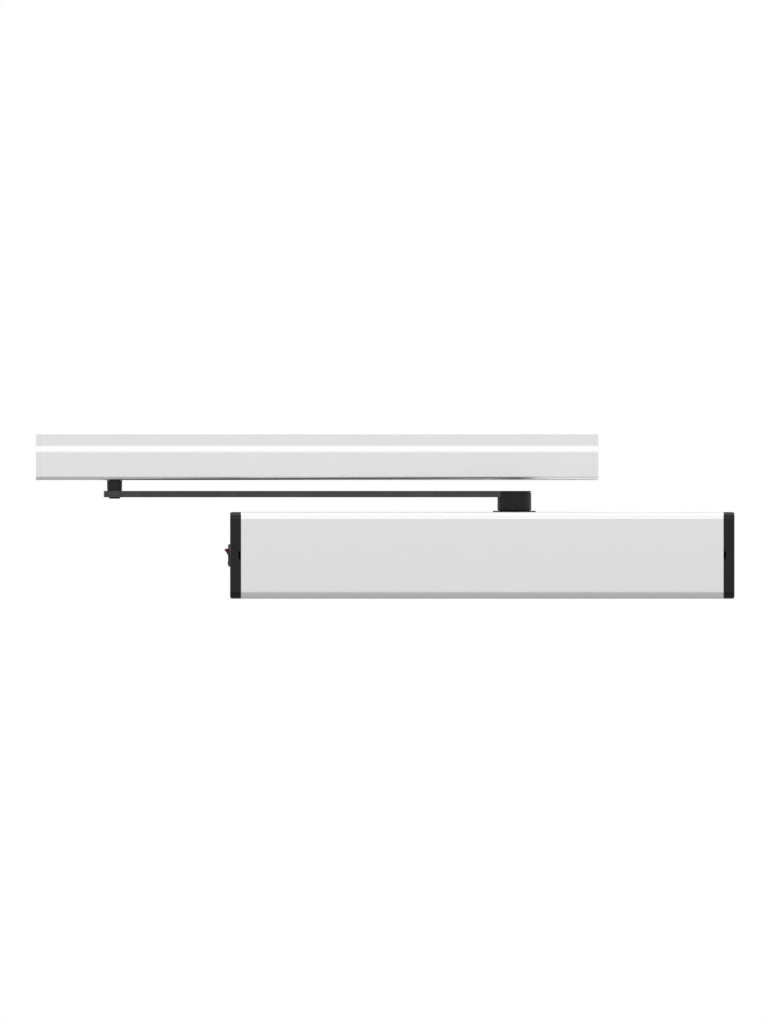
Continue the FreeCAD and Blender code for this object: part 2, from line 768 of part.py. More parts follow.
def gearbox_plate(low, bushes):
    """Flat plate across the gearbox with its bushes' holes and a flange at the back for its screws."""
    high = low + gearbox_plate_thick
    flange_low = high - gearbox_flange_height
    flange_front = -plate_thick - gearbox_flange_thick
    plate = box(gearbox_left, gearbox_right, gearbox_front, -plate_thick, low, high)
    plate = plate.makeFillet(gearbox_corner_radius, edges_along(plate, Z_AXIS, lambda p: p.y < gearbox_front + over))
    plate = fuse(plate, box(gearbox_left, gearbox_right, flange_front, -plate_thick, flange_low, high))
    for x, y in pillar_places():
        plate = plate.cut(rod_z(x, y, low - over, high + over, small_screw_radius + seat_gap))
    for x, z in gearbox_screw_places():
        if flange_low < z < high:
            plate = plate.cut(rod_y(x, z, flange_front - over, 0, small_screw_radius + seat_gap))
    for x, radius in bushes:
        seat = radius + running_gap + bush_wall + seat_gap
        plate = plate.cut(rod_z(x, spindle_y, low - over, high + over, seat))
    return plate


def make_gearbox_frame():
    """Two plates, the pillars between them, and the screws."""
    bushes = [(spindle_x, spindle_radius), (idler_1_x, idler_shaft_radii[0]), (idler_2_x, idler_shaft_radii[1])]
    bottom = gearbox_plate(bottom_plate_low, bushes + [(motor_x, motor_shaft_radius)])
    for x, y in motor_screw_places():
        bottom = bottom.cut(rod_z(x, y, bottom_plate_low - over, bottom_plate_high + over,
                                  small_screw_radius + seat_gap))
    save("gearbox_bottom_plate", bottom)
    save("gearbox_top_plate", gearbox_plate(top_plate_low, bushes))
    pillars = []
    screws = []
    for x, y in pillar_places():
        pillar = rod_z(x, y, bottom_plate_high, top_plate_low, pillar_radius)
        way = rod_z(x, y, bottom_plate_high - over, top_plate_low + over, small_screw_radius + seat_gap)
        pillars.append(pillar.cut(way))
        screws.append(screw(Vec(x, y, top_plate_high), -Z_AXIS, pillar_screw_length))
        screws.append(screw(Vec(x, y, bottom_plate_low), Z_AXIS, pillar_screw_length))
    save("gearbox_pillars", *pillars)
    save("pillar_screws", *screws)
    flange_screws = []
    for x, z in gearbox_screw_places():
        seat = Vec(x, -plate_thick - gearbox_flange_thick, z)
        flange_screws.append(screw(seat, Y_AXIS, gearbox_flange_thick + plate_thick))
    save("gearbox_screws", *flange_screws)


def flanged_bush(x, low, radius, flange_low):
    """Bronze bush through a gearbox plate, with a flange, bored for a running fit."""
    bore = radius + running_gap
    high = low + gearbox_plate_thick
    bush = rod_z(x, spindle_y, low, high, bore + bush_wall)
    flange = rod_z(x, spindle_y, flange_low, flange_low + bush_flange_thick, bore + bush_wall + bush_flange_extra)
    way = rod_z(x, spindle_y, low - bush_flange_thick - over, high + bush_flange_thick + over, bore)
    return fuse(bush, flange).cut(way)


def make_bushes():
    """Bushes of the spindle, the idlers and the motor shaft."""
    groups = {"spindle_bushes": [(spindle_x, spindle_radius)],
              "idler_bushes": [(idler_1_x, idler_shaft_radii[0]), (idler_2_x, idler_shaft_radii[1])]}
    for name, shafts in groups.items():
        bushes = []
        for x, radius in shafts:
            bushes.append(flanged_bush(x, bottom_plate_low, radius, bottom_plate_high))
            bushes.append(flanged_bush(x, top_plate_low, radius, top_plate_low - bush_flange_thick))
        save(name, *bushes)
    upper = flanged_bush(motor_x, bottom_plate_low, motor_shaft_radius, bottom_plate_low - bush_flange_thick)
    foot = can_low + can_wall
    bore = motor_shaft_radius + running_gap
    lower = rod_z(motor_x, spindle_y, foot, foot + motor_foot_bush, bore + bush_wall)
    lower = lower.cut(rod_z(motor_x, spindle_y, foot - over, foot + motor_foot_bush + over, bore))
    save("motor_bushes", upper, lower)


def motor_screw_places():
    """X and Y of the screws that hold the motor's can to the gearbox."""
    places = []
    for number in range(motor_screws):
        place = polar_point(can_radius + can_ear_reach, math.radians(360 * number / motor_screws + 90))
        places.append((motor_x + place.x, spindle_y + place.y))
    return places


def make_motor_can():
    """Motor's can with its ears, and the screws that hold it to the gearbox."""
    ear_low = bottom_plate_low - can_ear_thick
    pieces = [rod_z(motor_x, spindle_y, can_low, bottom_plate_low, can_radius)]
    for x, y in motor_screw_places():
        pieces.append(rod_z(x, y, ear_low, bottom_plate_low, can_ear_radius))
    can = fuse(*pieces)
    can = can.cut(rod_z(motor_x, spindle_y, can_low + can_wall, bottom_plate_low + over, can_radius - can_wall))
    screws = []
    for x, y in motor_screw_places():
        can = can.cut(rod_z(x, y, ear_low - over, bottom_plate_low + over, small_screw_radius + seat_gap))
        screws.append(screw(Vec(x, y, ear_low), Z_AXIS, can_screw_length))
    save("motor_can", can)
    save("motor_screws", *screws)


def make_motor_stator():
    """Toothed core pressed into the can, with a coil round each tooth."""
    core_outer = can_radius - can_wall - seat_gap
    core_inner = core_outer - stator_core_wall
    core = rod_z(motor_x, spindle_y, stator_low, stator_high, core_outer)
    core = core.cut(rod_z(motor_x, spindle_y, stator_low - over, stator_high + over, core_inner))
    half = tooth_width / 2
    coil_from = motor_x + stator_bore_radius + coil_inner_gap
    coil_to = motor_x + core_inner - coil_outer_gap
    teeth = []
    coils = []
    for number in range(stator_teeth):
        tooth = box(motor_x + stator_bore_radius, motor_x + core_inner + stator_core_wall / 2,
                    spindle_y - half, spindle_y + half, stator_low, stator_high)
        coil = box(coil_from, coil_to, spindle_y - half - coil_thick, spindle_y + half + coil_thick,
                   stator_low - coil_thick, stator_high + coil_thick)
        way = box(coil_from - over, coil_to + over, spindle_y - half - seat_gap, spindle_y + half + seat_gap,
                  stator_low - seat_gap, stator_high + seat_gap)
        coil = coil.cut(way)
        for piece in (tooth, coil):
            piece.rotate(Vec(motor_x, spindle_y, 0), Z_AXIS, 360.0 * number / stator_teeth)
        teeth.append(tooth)
        coils.append(coil)
    save("motor_stator", fuse(core, *teeth))
    save("motor_windings", *coils)


def make_motor_rotor():
    """Rotor, its shaft and the pinion."""
    pinion_low = stage_lows[0]
    pinion_high = pinion_low + stage_widths[0]
    bore = motor_shaft_radius + seat_gap
    rotor = rod_z(motor_x, spindle_y, stator_low, stator_high, rotor_radius)
    save("motor_rotor", rotor.cut(rod_z(motor_x, spindle_y, stator_low - over, stator_high + over, bore)))
    save("motor_shaft", rod_z(motor_x, spindle_y, can_low + can_wall + side_gap, pinion_high + motor_shaft_proud,
                              motor_shaft_radius))
    teeth = pinion(0, motor_x, pinion_low, pinion_high)
    save("motor_pinion", teeth.cut(rod_z(motor_x, spindle_y, pinion_low - over, pinion_high + over, bore)))


def make_board():
    """Controller board on its standoffs."""
    back = board_front + board_thick
    board = box(board_left, board_right, board_front, back, -board_half_height, board_half_height)
    standoffs = []
    screws = []
    bore = small_screw_radius + seat_gap
    for x, z in standoff_places():
        board = board.cut(rod_y(x, z, board_front - over, back + over, bore))
        post = rod_y(x, z, back, -plate_thick, standoff_radius)
        standoffs.append(post.cut(rod_y(x, z, back - over, -plate_thick + over, bore)))
        screws.append(screw(Vec(x, board_front, z), Y_AXIS, board_thick + standoff_height + plate_thick))
    save("controller_board", board)
    save("board_standoffs", *standoffs)
    save("board_screws", *screws)


def make_board_parts():
    """Capacitors, heat sink, terminal blocks and relays on the controller board."""
    pitch = (board_length - capacitor_margins) / board_columns
    front = board_front - capacitor_height
    capacitors = []
    for number in range(board_columns):
        centre = Vec(board_left + capacitor_inset + pitch * number, front, board_half_height - capacitor_drop)
        can = Part.makeCylinder(capacitor_share * pitch, capacitor_height, centre, Y_AXIS)
        top = [edge for edge in can.Edges if edge.Closed and abs(edge.CenterOfMass.y - front) < 1e-6]
        capacitors.append(can.makeFillet(capacitor_rounding, top))
    save("capacitors", *capacitors)
    high = board_half_height - sink_drop
    low = high - sink_height_share * board_half_height
    width = sink_fin_thick + sink_fin_pitch * (sink_fins - 1)
    left = board_right - sink_inset - width
    sink = [box(left, left + width, board_front - sink_base, board_front, low, high)]
    for number in range(sink_fins):
        x = left + sink_fin_pitch * number
        sink.append(box(x, x + sink_fin_thick, board_front - sink_reach, board_front - sink_base, low, high))
    save("heat_sink", fuse(*sink))
    pitch = (board_length - block_margins) / board_columns
    way_pitch = (pitch - block_gap) / block_ways
    low = block_rise - board_half_height
    front = board_front - block_reach
    blocks = []
    for number in range(board_columns):
        x = board_left + block_inset + pitch * number
        block = box(x, x + pitch - block_gap, front, board_front, low, low + block_height)
        for way in range(block_ways):
            block = block.cut(rod_y(x + way_pitch * (way + 0.5), low + block_height / 2, front - over,
                                    front + block_way_depth, block_way_radius))
        blocks.append(block)
    save("terminal_blocks", *blocks)
    pitch = (board_length - relay_margins) / board_columns
    low = -relay_low_share * board_half_height
    high = low + relay_height_share * board_half_height
    relays = []
    for number in range(board_columns):
        x = board_left + relay_inset + pitch * number
        relay = box(x, x + relay_width, board_front - relay_reach, board_front, low, high)
        relays.append(relay.makeFillet(relay_rounding, edges_along(relay, Y_AXIS, lambda p: True)))
    save("relays", *relays)


def make_power_supply():
    """Boxed power supply with slots in its front, and its screws."""
    back = -plate_thick
    front = back - supply_depth
    slot_high = supply_slot_share * supply_half_height
    inside = supply_half_height - supply_wall
    case = box(supply_left, supply_right, front, back, -supply_half_height, supply_half_height)
    case = case.cut(box(supply_left + supply_wall, supply_right - supply_wall, front + supply_wall,
                        back - supply_wall, -inside, inside))
    pitch = (supply_right - supply_left - 2 * supply_slot_inset - supply_slot_width) / (supply_slots - 1)
    for number in range(supply_slots):
        x = supply_left + supply_slot_inset + pitch * number
        case = case.cut(box(x, x + supply_slot_width, front - over, front + supply_wall + over,
                            -slot_high, slot_high))
    screws = []
    for x, z in supply_screw_places():
        case = case.cut(rod_y(x, z, back - supply_wall - over, back + over, small_screw_radius + seat_gap))
        screws.append(screw(Vec(x, back - supply_wall, z), Y_AXIS, supply_wall + plate_thick))
    save("power_supply", case)
    save("supply_screws", *screws)


def lead(points):
    """Round lead along straight runs joined by tangent arcs; its length is printed."""
    pieces = []
    length = 0.0
    start = points[0]
    for before, corner, after in zip(points, points[1:], points[2:]):
        back = before - corner
        ahead = after - corner
        cut = lead_bend_share * min(back.Length, ahead.Length)
        back = back / back.Length
        ahead = ahead / ahead.Length
        turn = math.pi - back.getAngle(ahead)
        bend = cut / math.tan(turn / 2)
        enter = corner + back * cut
        leave = corner + ahead * cut
        inward = (back + ahead) / (back + ahead).Length
        middle = corner + inward * (bend / math.cos(turn / 2) - bend)
        pieces.append(Part.LineSegment(start, enter).toShape())
        pieces.append(Part.Arc(enter, middle, leave).toShape())
        length += (enter - start).Length + bend * turn
        start = leave
    pieces.append(Part.LineSegment(start, points[-1]).toShape())
    length += (points[-1] - start).Length
    section = Part.Wire(Part.makeCircle(lead_radius, points[0], points[1] - points[0]))
    tube = Part.Wire(pieces).makePipeShell([section], True, False)
    print("lead length", round(length, 1), "volume as a share of a straight one",
          round(tube.Volume / (math.pi * lead_radius ** 2 * length), 4))
    return tube


def make_leads():
    """Mains lead from the switch to the power supply, and motor lead from the board to the motor."""
    switch_back = -half_length + switch_barrel_length + switch_blade_length
    supply_y = switch_y + mains_shift
    mains = [Vec(switch_back, switch_y, 0),
             Vec(switch_back + mains_run, switch_y, -mains_drop / 4),
             Vec(supply_left - mains_end_run, supply_y, -mains_drop),
             Vec(supply_left, supply_y, -mains_drop)]
    save("mains_lead", lead(mains))
    block_top = block_rise + block_height - board_half_height
    start_x = board_right - board_lead_inset
    start_z = block_top + board_lead_rise
    front = board_front - board_lead_run
    under_z = bottom_plate_low - motor_lead_drop
    halfway_z = (start_z + under_z) / 2 + motor_lead_rise
    under_y = spindle_y + buffer_ring_radius + buffer_head_radius + lead_radius + motor_lead_gap
    end_x = motor_x - can_radius - motor_lead_end_run
    end_z = bottom_plate_low - motor_lead_end_drop
    motor = [Vec(start_x, board_front, start_z),
             Vec(start_x, front, start_z),
             Vec(board_right + motor_lead_out, front - motor_lead_forward, halfway_z),
             Vec(spindle_x - motor_lead_before, under_y, under_z),
             Vec(spindle_x + motor_lead_after, under_y, under_z),
             Vec(end_x - motor_lead_end_bend, spindle_y, end_z - motor_lead_end_rise),
             Vec(end_x, spindle_y, end_z),
             Vec(motor_x - can_radius, spindle_y, end_z)]
    save("motor_lead", lead(motor))


def make_entry():
    """Rubber grommet in the cable entry, and the earth stud beside it with its nut."""
    lip_front = -plate_thick - grommet_lip
    barrel = rod_y(entry_x, entry_z, lip_front, 0, entry_radius - seat_gap)
    lip = rod_y(entry_x, entry_z, lip_front, -plate_thick, entry_radius + grommet_lip)
    bore = rod_y(entry_x, entry_z, lip_front - over, over, grommet_bore_radius)
    save("cable_grommet", fuse(barrel, lip).cut(bore))
    stud = rod_y(entry_x, earth_stud_z, -plate_thick - earth_stud_length, 0, earth_stud_radius - seat_gap)
    foot = Vec(entry_x, -plate_thick, earth_stud_z)
    nut = hex_prism(foot, -Y_AXIS, earth_nut_flats, earth_nut_height)
    nut = nut.cut(rod_y(entry_x, earth_stud_z, -plate_thick - earth_stud_length, 0, earth_stud_radius))
    save("earth_stud", stud, nut)


def make_switch():
    """Round mains switch in the left end cap: bezel and barrel, rocker, and blade terminals."""
    face = -half_length - switch_bezel_thick
    barrel_end = -half_length + switch_barrel_length
    pivot_x = face + rocker_pivot_depth
    bezel = rod_x(switch_y, 0, face, -half_length, switch_bezel_radius)
    bezel = bezel.makeFillet(switch_bezel_rounding, edges_of_end(bezel, face))
    body = fuse(bezel, rod_x(switch_y, 0, -half_length, barrel_end, switch_barrel_radius))
    well = rod_x(switch_y, 0, face - over, face + rocker_well_depth, rocker_well_radius)
    flat = rocker_half_width + side_gap
    body = body.cut(well.common(box(face - 2 * over, face + rocker_well_depth + over, switch_y - flat,
                                    switch_y + flat, -rocker_well_radius, rocker_well_radius)))
    axle_half = rocker_half_width + rocker_axle_reach
    body = body.cut(rod_y(pivot_x, 0, switch_y - axle_half - side_gap, switch_y + axle_half + side_gap,
                          rocker_axle_radius + running_gap))
    save("switch_body", body)
    profile = []
    for x, z in ((-rocker_tip_reach, rocker_half_height), (-rocker_crest, 0.0),
                 (-rocker_tip_reach, -rocker_half_height), (-rocker_edge, -rocker_half_height),
                 (rocker_tail, -rocker_tail_half_height), (rocker_tail, rocker_tail_half_height),
                 (-rocker_edge, rocker_half_height), (-rocker_tip_reach, rocker_half_height)):
        profile.append(Vec(pivot_x + x, switch_y - rocker_half_width, z))
    rocker = Part.Face(Part.makePolygon(profile)).extrude(Vec(0, 2 * rocker_half_width, 0))
    reach = 2 * rocker_tip_reach
    rocker = rocker.common(rod_x(switch_y, 0, pivot_x - reach, pivot_x + reach, rocker_half_height))
    rocker = fuse(rocker, rod_y(pivot_x, 0, switch_y - axle_half, switch_y + axle_half, rocker_axle_radius))
    rocker.rotate(Vec(pivot_x, 0, 0), Y_AXIS, -rocker_throw / 2)
    save("switch_rocker", rocker)
    blades = []
    half = switch_blade_thick / 2
    near = switch_y - switch_blade_shift
    for z in (-switch_blade_pitch, 0.0, switch_blade_pitch):
        blades.append(box(barrel_end, barrel_end + switch_blade_length, near, near + switch_blade_width,
                          z - half, z + half))
    save("switch_terminals", *blades)


def make_arm_hub():
    """Hub on the spindle, slotted for the bar, with the square under it."""
    hub = rod_z(spindle_x, spindle_y, hub_low, arm_top, hub_radius)
    hub = hub.makeChamfer(hub_chamfer, round_edges_at(hub, arm_top))
    recess_high = boss_top + hub_gap
    hub = hub.cut(rod_z(spindle_x, spindle_y, hub_low - over, recess_high, ring_boss_radius + side_gap))
    stub = rod_z(spindle_x, spindle_y, spindle_top, recess_high, spindle_radius)
    half = socket_side / 2 - running_gap
    square_low = spindle_top - socket_depth + hub_square_gap
    square = box(spindle_x - half, spindle_x + half, spindle_y - half, spindle_y + half, square_low, spindle_top)
    half = arm_width / 2 + seat_gap
    slot = box(spindle_x - hub_radius - over, spindle_x + half, spindle_y - half, spindle_y + half,
               arm_low, arm_top + over)
    hub = fuse(hub, stub, square).cut(slot)
    hub = hub.cut(rod_z(spindle_x, spindle_y, square_low - over, arm_top + over, arm_screw_radius + seat_gap))
    turn_to_arm(hub)
    save("arm_hub", hub)


def make_arm_bar():
    """Flat bar with a round end over the pin and a flat pad on its front edge there."""
    half = arm_width / 2
    pin_x = spindle_x - arm_length
    bar = box(pin_x, spindle_x + half, spindle_y - half, spindle_y + half, arm_low, arm_top)
    eye = rod_z(pin_x, spindle_y, arm_low, arm_top, half)
    pad = box(pin_x - arm_pad_width / 2, pin_x + arm_pad_width / 2, spindle_y - half - arm_pad_proud,
              spindle_y, arm_low, arm_top)
    bar = fuse(bar, eye, pad)
    bar = bar.cut(rod_z(spindle_x, spindle_y, arm_low - over, arm_top + over, arm_screw_radius + seat_gap))
    bar = bar.cut(rod_z(spindle_x, spindle_y, arm_top - arm_screw_head_height, arm_top + over,
                        arm_screw_head_radius + head_room))
    bar = bar.cut(rod_z(pin_x, spindle_y, arm_low - over, arm_top + over, pin_screw_radius + seat_gap))
    turn_to_arm(bar)
    save("arm_bar", bar)


def make_arm_screw():
    """Long socket screw through the bar and the hub into the spindle."""
    seat = arm_top - arm_screw_head_height
    head = rod_z(spindle_x, spindle_y, seat, arm_top, arm_screw_head_radius)
    tip = spindle_top - socket_depth - arm_screw_grip
    shank = rod_z(spindle_x, spindle_y, tip, seat, arm_screw_radius)
    drive = hex_prism(Vec(spindle_x, spindle_y, arm_top - arm_screw_drive_depth), Z_AXIS, arm_screw_flats,
                      arm_screw_drive_depth + over)
    save("arm_screw", fuse(head, shank).cut(drive))


def make_pin():
    """Collared pin on the arm's end, its screw from below, and the circlip over the slider."""
    x, y = arm_pin_x, arm_pin_y
    collar = rod_z(x, y, arm_top, collar_top, collar_radius)
    flare = Part.makeCone(collar_radius, collar_flare_radius, collar_flare_height,
                          Vec(x, y, collar_top - collar_flare_height), Z_AXIS)
    groove_low = arm_top + collar_groove_rise
    groove = rod_z(x, y, groove_low, groove_low + collar_groove_height, collar_radius + over)
    groove = groove.cut(rod_z(x, y, arm_top, collar_top, collar_radius - collar_groove_depth))
    stem = rod_z(x, y, collar_top, pin_top, pin_radius)
    pin = fuse(fuse(collar, flare).cut(groove), stem)
    neck_radius = pin_radius - circlip_groove_depth
    neck = rod_z(x, y, clip_low, clip_high, pin_radius + over)
    pin = pin.cut(neck.cut(rod_z(x, y, clip_low - over, clip_high + over, neck_radius)))
    pin = pin.cut(rod_z(x, y, arm_top - over, arm_top + pin_thread_depth, pin_screw_radius + seat_gap))
    save("slider_pin", pin)
    head_low = arm_low - pin_screw_head_height
    head = rod_z(x, y, head_low, arm_low, pin_screw_head_radius)
    head = head.makeChamfer(pin_screw_chamfer, round_edges_at(head, head_low))
    shank = rod_z(x, y, arm_low, arm_top + pin_screw_length, pin_screw_radius)
    drive = rod_z(x, y, head_low - over, head_low + pin_screw_drive_depth, pin_screw_drive_radius)
    save("slider_screw", fuse(head, shank).cut(drive))
    clip = rod_z(x, y, clip_low + circlip_play, clip_high - circlip_play, circlip_radius)
    clip = clip.cut(rod_z(x, y, clip_low - over, clip_high + over, neck_radius + seat_gap))
    mouth = box(x - circlip_mouth / 2, x + circlip_mouth / 2, y, y + circlip_radius + over,
                clip_low - over, clip_high + over)
    save("pin_circlip", clip.cut(mouth))


def make_slider():
    """Plastic slider block, with rounded ends, a recess for the circlip and relieved flanks."""
    half = slider_length / 2
    width = channel_width / 2 - slider_width_gap
    low = slider_low - over
    high = slider_high + over
    block = box(arm_pin_x - half, arm_pin_x + half, arm_pin_y - width, arm_pin_y + width, slider_low, slider_high)
    block = block.makeFillet(slider_rounding, edges_along(block, Z_AXIS, lambda p: True))
    block = block.cut(rod_z(arm_pin_x, arm_pin_y, clip_low - side_gap, high, circlip_radius + 2 * side_gap))
    for side in (-1, 1):
        flank = arm_pin_y + side * width
        block = block.cut(box(arm_pin_x - half / 2, arm_pin_x + half / 2, flank - side * slider_relief,
                              flank + side * over, low, high))
    save("slider_block", block.cut(rod_z(arm_pin_x, arm_pin_y, low, high, pin_radius + running_gap)))


def step_curve(x, inset):
    """Two tangent arcs of the rail's stepped front, drawn in by a wall, from the lower face to the upper."""
    lower_run = rail_step_bend - rail_step_low
    upper_run = rail_step_high - rail_step_bend
    bend = 2 * math.atan(rail_step_depth / (lower_run + upper_run))
    convex = lower_run / math.sin(bend)
    concave = upper_run / math.sin(bend)
    low = rail_low + rail_step_low
    high = rail_low + rail_step_high
    back = rail_step_depth - rail_depth
    convex_points = []
    concave_points = []
    for angle in (0.0, bend / 2, bend):
        convex_points.append(Vec(x, convex - rail_depth - (convex - inset) * math.cos(angle),
                                 low + (convex - inset) * math.sin(angle)))
        angle = bend - angle
        concave_points.append(Vec(x, back - concave + (concave + inset) * math.cos(angle),
                                  high - (concave + inset) * math.sin(angle)))
    return [Part.Arc(*convex_points).toShape(), Part.Arc(*concave_points).toShape()]


def rail_solid(x0, x1, inset, before, after):
    """Solid run along X from the stepped curve closed by the (y, z) corners before and after it."""
    curve = step_curve(x0, inset)
    points = [curve[1].Vertexes[-1].Point]
    for y, z in after + before:
        points.append(Vec(x0, y, z))
    points.append(curve[0].Vertexes[0].Point)
    edges = curve + Part.makePolygon(points).Edges
    return Part.Face(Part.Wire(edges)).extrude(Vec(x1 - x0, 0, 0))


def rail_block(x0, x1):
    """Solid of the rail's outline between two X places, with its front edges rounded."""
    block = rail_solid(x0, x1, 0.0, [(0.0, rail_low), (-rail_depth, rail_low)],
                       [(rail_step_depth - rail_depth, rail_top), (0.0, rail_top)])
    lower = edges_along(block, X_AXIS, lambda p: p.y < -rail_depth / 2 and p.z < rail_low + rail_skin)
    block = block.makeFillet(rail_lower_radius, lower)
    upper = edges_along(block, X_AXIS, lambda p: p.y < -rail_depth / 2 and p.z > rail_top - rail_skin)
    return block.makeFillet(rail_upper_radius, upper)


def make_rail_track(x0, x1):
    """Track with the slider's channel and the rail's fixing holes."""
    slot_back = arm_pin_y + slot_width / 2
    slot_front = arm_pin_y - slot_width / 2
    wall_front = -rail_depth + rail_skin + track_front_gap
    roof_top = channel_top + track_wall
    back = box(x0, x1, channel_back, 0, rail_low, rail_top - rail_skin)
    back = back.cut(box(x0 - over, x1 + over, channel_back - over, -track_wall, roof_top, rail_top))
    track = fuse(back,
                 box(x0, x1, slot_back, channel_back, track_low, lip_top),
                 box(x0, x1, wall_front, slot_front, track_low, lip_top),
                 box(x0, x1, wall_front, channel_back, channel_top, roof_top),
                 box(x0, x1, wall_front, channel_front, track_low, channel_top))
    corner = edges_along(track, X_AXIS, lambda p: p.y < wall_front + over and p.z < track_low + over)
    track = track.makeFillet(track_corner_radius, corner)
    middle = (rail_left + rail_right) / 2
    for x in (middle - rail_hole_span / 2, middle + rail_hole_span / 2):
        track = track.cut(rod_y(x, rail_low + rail_hole_rise, -track_wall - over, over, rail_hole_radius))
    save("rail_track", track)


def make_rail_cover(x0, x1):
    """Snap-on front of the rail, open towards the track."""
    inner_front = rail_skin - rail_depth
    inner_top = rail_top - rail_skin
    lip_edge = arm_pin_y - slot_width / 2 - rail_lip_overlap
    hollow = rail_solid(x0 - over, x1 + over, rail_skin,
                        [(over, rail_low - over), (lip_edge, rail_low - over), (lip_edge, track_low),
                         (inner_front, track_low)],
                        [(inner_front + rail_step_depth, inner_top), (over, inner_top)])
    corner = edges_along(hollow, X_AXIS, lambda p: p.y < inner_front + 0.1 and p.z < track_low + 0.1)
    hollow = hollow.makeFillet(rail_lower_radius - rail_skin, corner)
    save("rail_cover", rail_block(x0, x1).cut(hollow))


def make_rail_ends():
    """End caps of the rail, the end stops inside them and a screw through each pair."""
    y, z = arm_pin_y, rail_cap_screw_z
    stops = []
    screws = []
    for side, name, end in ((-1, "rail_left_cap", rail_left), (1, "rail_right_cap", rail_right)):
        near = end - side * rail_cap_thick
        seat = end - side * rail_cap_screw_seat
        tip = seat - side * rail_cap_screw_length
        cap = rail_block(end, near)
        cap = cap.makeFillet(rail_cap_rounding, edges_of_end(cap, end))
        cap = cap.cut(rod_x(y, z, near - side * over, end + side * over, small_screw_radius + seat_gap))
        save(name, cap.cut(rod_x(y, z, seat, end + side * over, small_screw_head_radius + head_room)))
        stop = box(near, near - side * rail_stop_length, channel_front + seat_gap, channel_back - seat_gap,
                   lip_top, channel_top)
        stops.append(stop.cut(rod_x(y, z, near, tip, small_screw_radius + seat_gap)))
        head = rod_x(y, z, seat, end - side * cap_screw_sink, small_screw_head_radius)
        screws.append(fuse(head, rod_x(y, z, seat, tip, small_screw_radius)))
    save("rail_stops", *stops)
    save("rail_cap_screws", *screws)


os.makedirs("parts", exist_ok=True)
make_base_plate()
make_cover()
make_end_caps()
make_end_cap_screws()
make_spindle_hole_trims()
make_gear_train()
make_spindle()
make_stop_cam()
make_stop_buffers()
make_gearbox_frame()
make_bushes()
make_motor_can()
make_motor_stator()
make_motor_rotor()
make_board()
make_board_parts()
make_power_supply()
make_leads()
make_entry()
make_switch()
make_arm_hub()
make_arm_bar()
make_arm_screw()
make_pin()
make_slider()
make_rail_track(rail_left + rail_cap_thick, rail_right - rail_cap_thick)
make_rail_cover(rail_left + rail_cap_thick, rail_right - rail_cap_thick)
make_rail_ends()
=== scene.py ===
"""Looks of a swing door operator with its arm and slide rail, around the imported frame.

All lengths are in metres. +X runs to the right along the operator, +Y into the wall, +Z up.
"""
import json
import logging
import math
from dataclasses import dataclass, field
from enum import Enum
from typing import Any

import bmesh
import bpy
from mathutils import Matrix, Vector


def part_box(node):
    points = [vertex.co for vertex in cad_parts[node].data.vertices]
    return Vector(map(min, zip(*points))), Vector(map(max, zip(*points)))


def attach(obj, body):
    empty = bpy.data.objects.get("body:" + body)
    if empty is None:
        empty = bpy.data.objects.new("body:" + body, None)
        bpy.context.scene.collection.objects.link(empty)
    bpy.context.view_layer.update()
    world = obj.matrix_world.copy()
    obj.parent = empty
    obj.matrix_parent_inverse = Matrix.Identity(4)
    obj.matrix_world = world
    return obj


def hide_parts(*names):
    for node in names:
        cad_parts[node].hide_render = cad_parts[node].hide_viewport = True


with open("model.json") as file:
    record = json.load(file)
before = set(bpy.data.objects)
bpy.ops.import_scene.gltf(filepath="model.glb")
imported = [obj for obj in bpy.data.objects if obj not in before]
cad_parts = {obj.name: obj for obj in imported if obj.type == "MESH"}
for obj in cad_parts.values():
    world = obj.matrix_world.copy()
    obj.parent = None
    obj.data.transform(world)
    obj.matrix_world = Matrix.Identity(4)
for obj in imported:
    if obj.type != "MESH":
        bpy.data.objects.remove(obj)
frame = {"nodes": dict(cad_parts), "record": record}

MM = 0.001
ALONG = Vector((1, 0, 0))
UP = Vector((0, 0, 1))
WELD = 0.001 * MM
SAME_PLACE = 0.0001 * MM
ROUND_STEPS = 72
FINE_STEPS = 96
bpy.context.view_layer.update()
LOG = logging.getLogger("door_operator")
Value = Any
Colour = tuple[float, float, float]
Stretch = tuple[float, float, float]
EVEN: Stretch = (1.0, 1.0, 1.0)


class Signal:
    """One output socket of a shader node, with arithmetic on it as Python expressions."""

    def __init__(self, graph: "Graph", socket: bpy.types.NodeSocket) -> None:
        """Wrap a socket.

        Args:
            graph: The graph that the socket belongs to.
            socket: The output socket.
        """
        self.graph = graph
        self.socket = socket

    def _math(self, operation: str, first: Value, second: Value) -> "Signal":
        """Add one Math node.

        Args:
            operation: The Math node's operation.
            first: A signal or a number.
            second: A signal or a number.

        Returns:
            The node's result.
        """
        node = self.graph.add("ShaderNodeMath", {"operation": operation}, {0: first, 1: second})
        return Signal(self.graph, node.outputs[0])

    def __add__(self, other: Value) -> "Signal":
        """Sum."""
        return self._math("ADD", self, other)

    def __radd__(self, other: Value) -> "Signal":
        """Reflected sum."""
        return self._math("ADD", other, self)

    def __sub__(self, other: Value) -> "Signal":
        """Difference."""
        return self._math("SUBTRACT", self, other)

    def __rsub__(self, other: Value) -> "Signal":
        """Reflected difference."""
        return self._math("SUBTRACT", other, self)

    def __mul__(self, other: Value) -> "Signal":
        """Product."""
        return self._math("MULTIPLY", self, other)

    def above(self, level: float, softness: float) -> "Signal":
        """Mask that rises from 0 to 1 over a soft step.

        Args:
            level: Where the step is half way up.
            softness: How wide the step is.

        Returns:
            The mask.
        """
        limits = {"From Min": level - softness / 2, "From Max": level + softness / 2}
        node = self.graph.add("ShaderNodeMapRange", {"clamp": True}, {"Value": self, **limits})
        return Signal(self.graph, node.outputs[0])


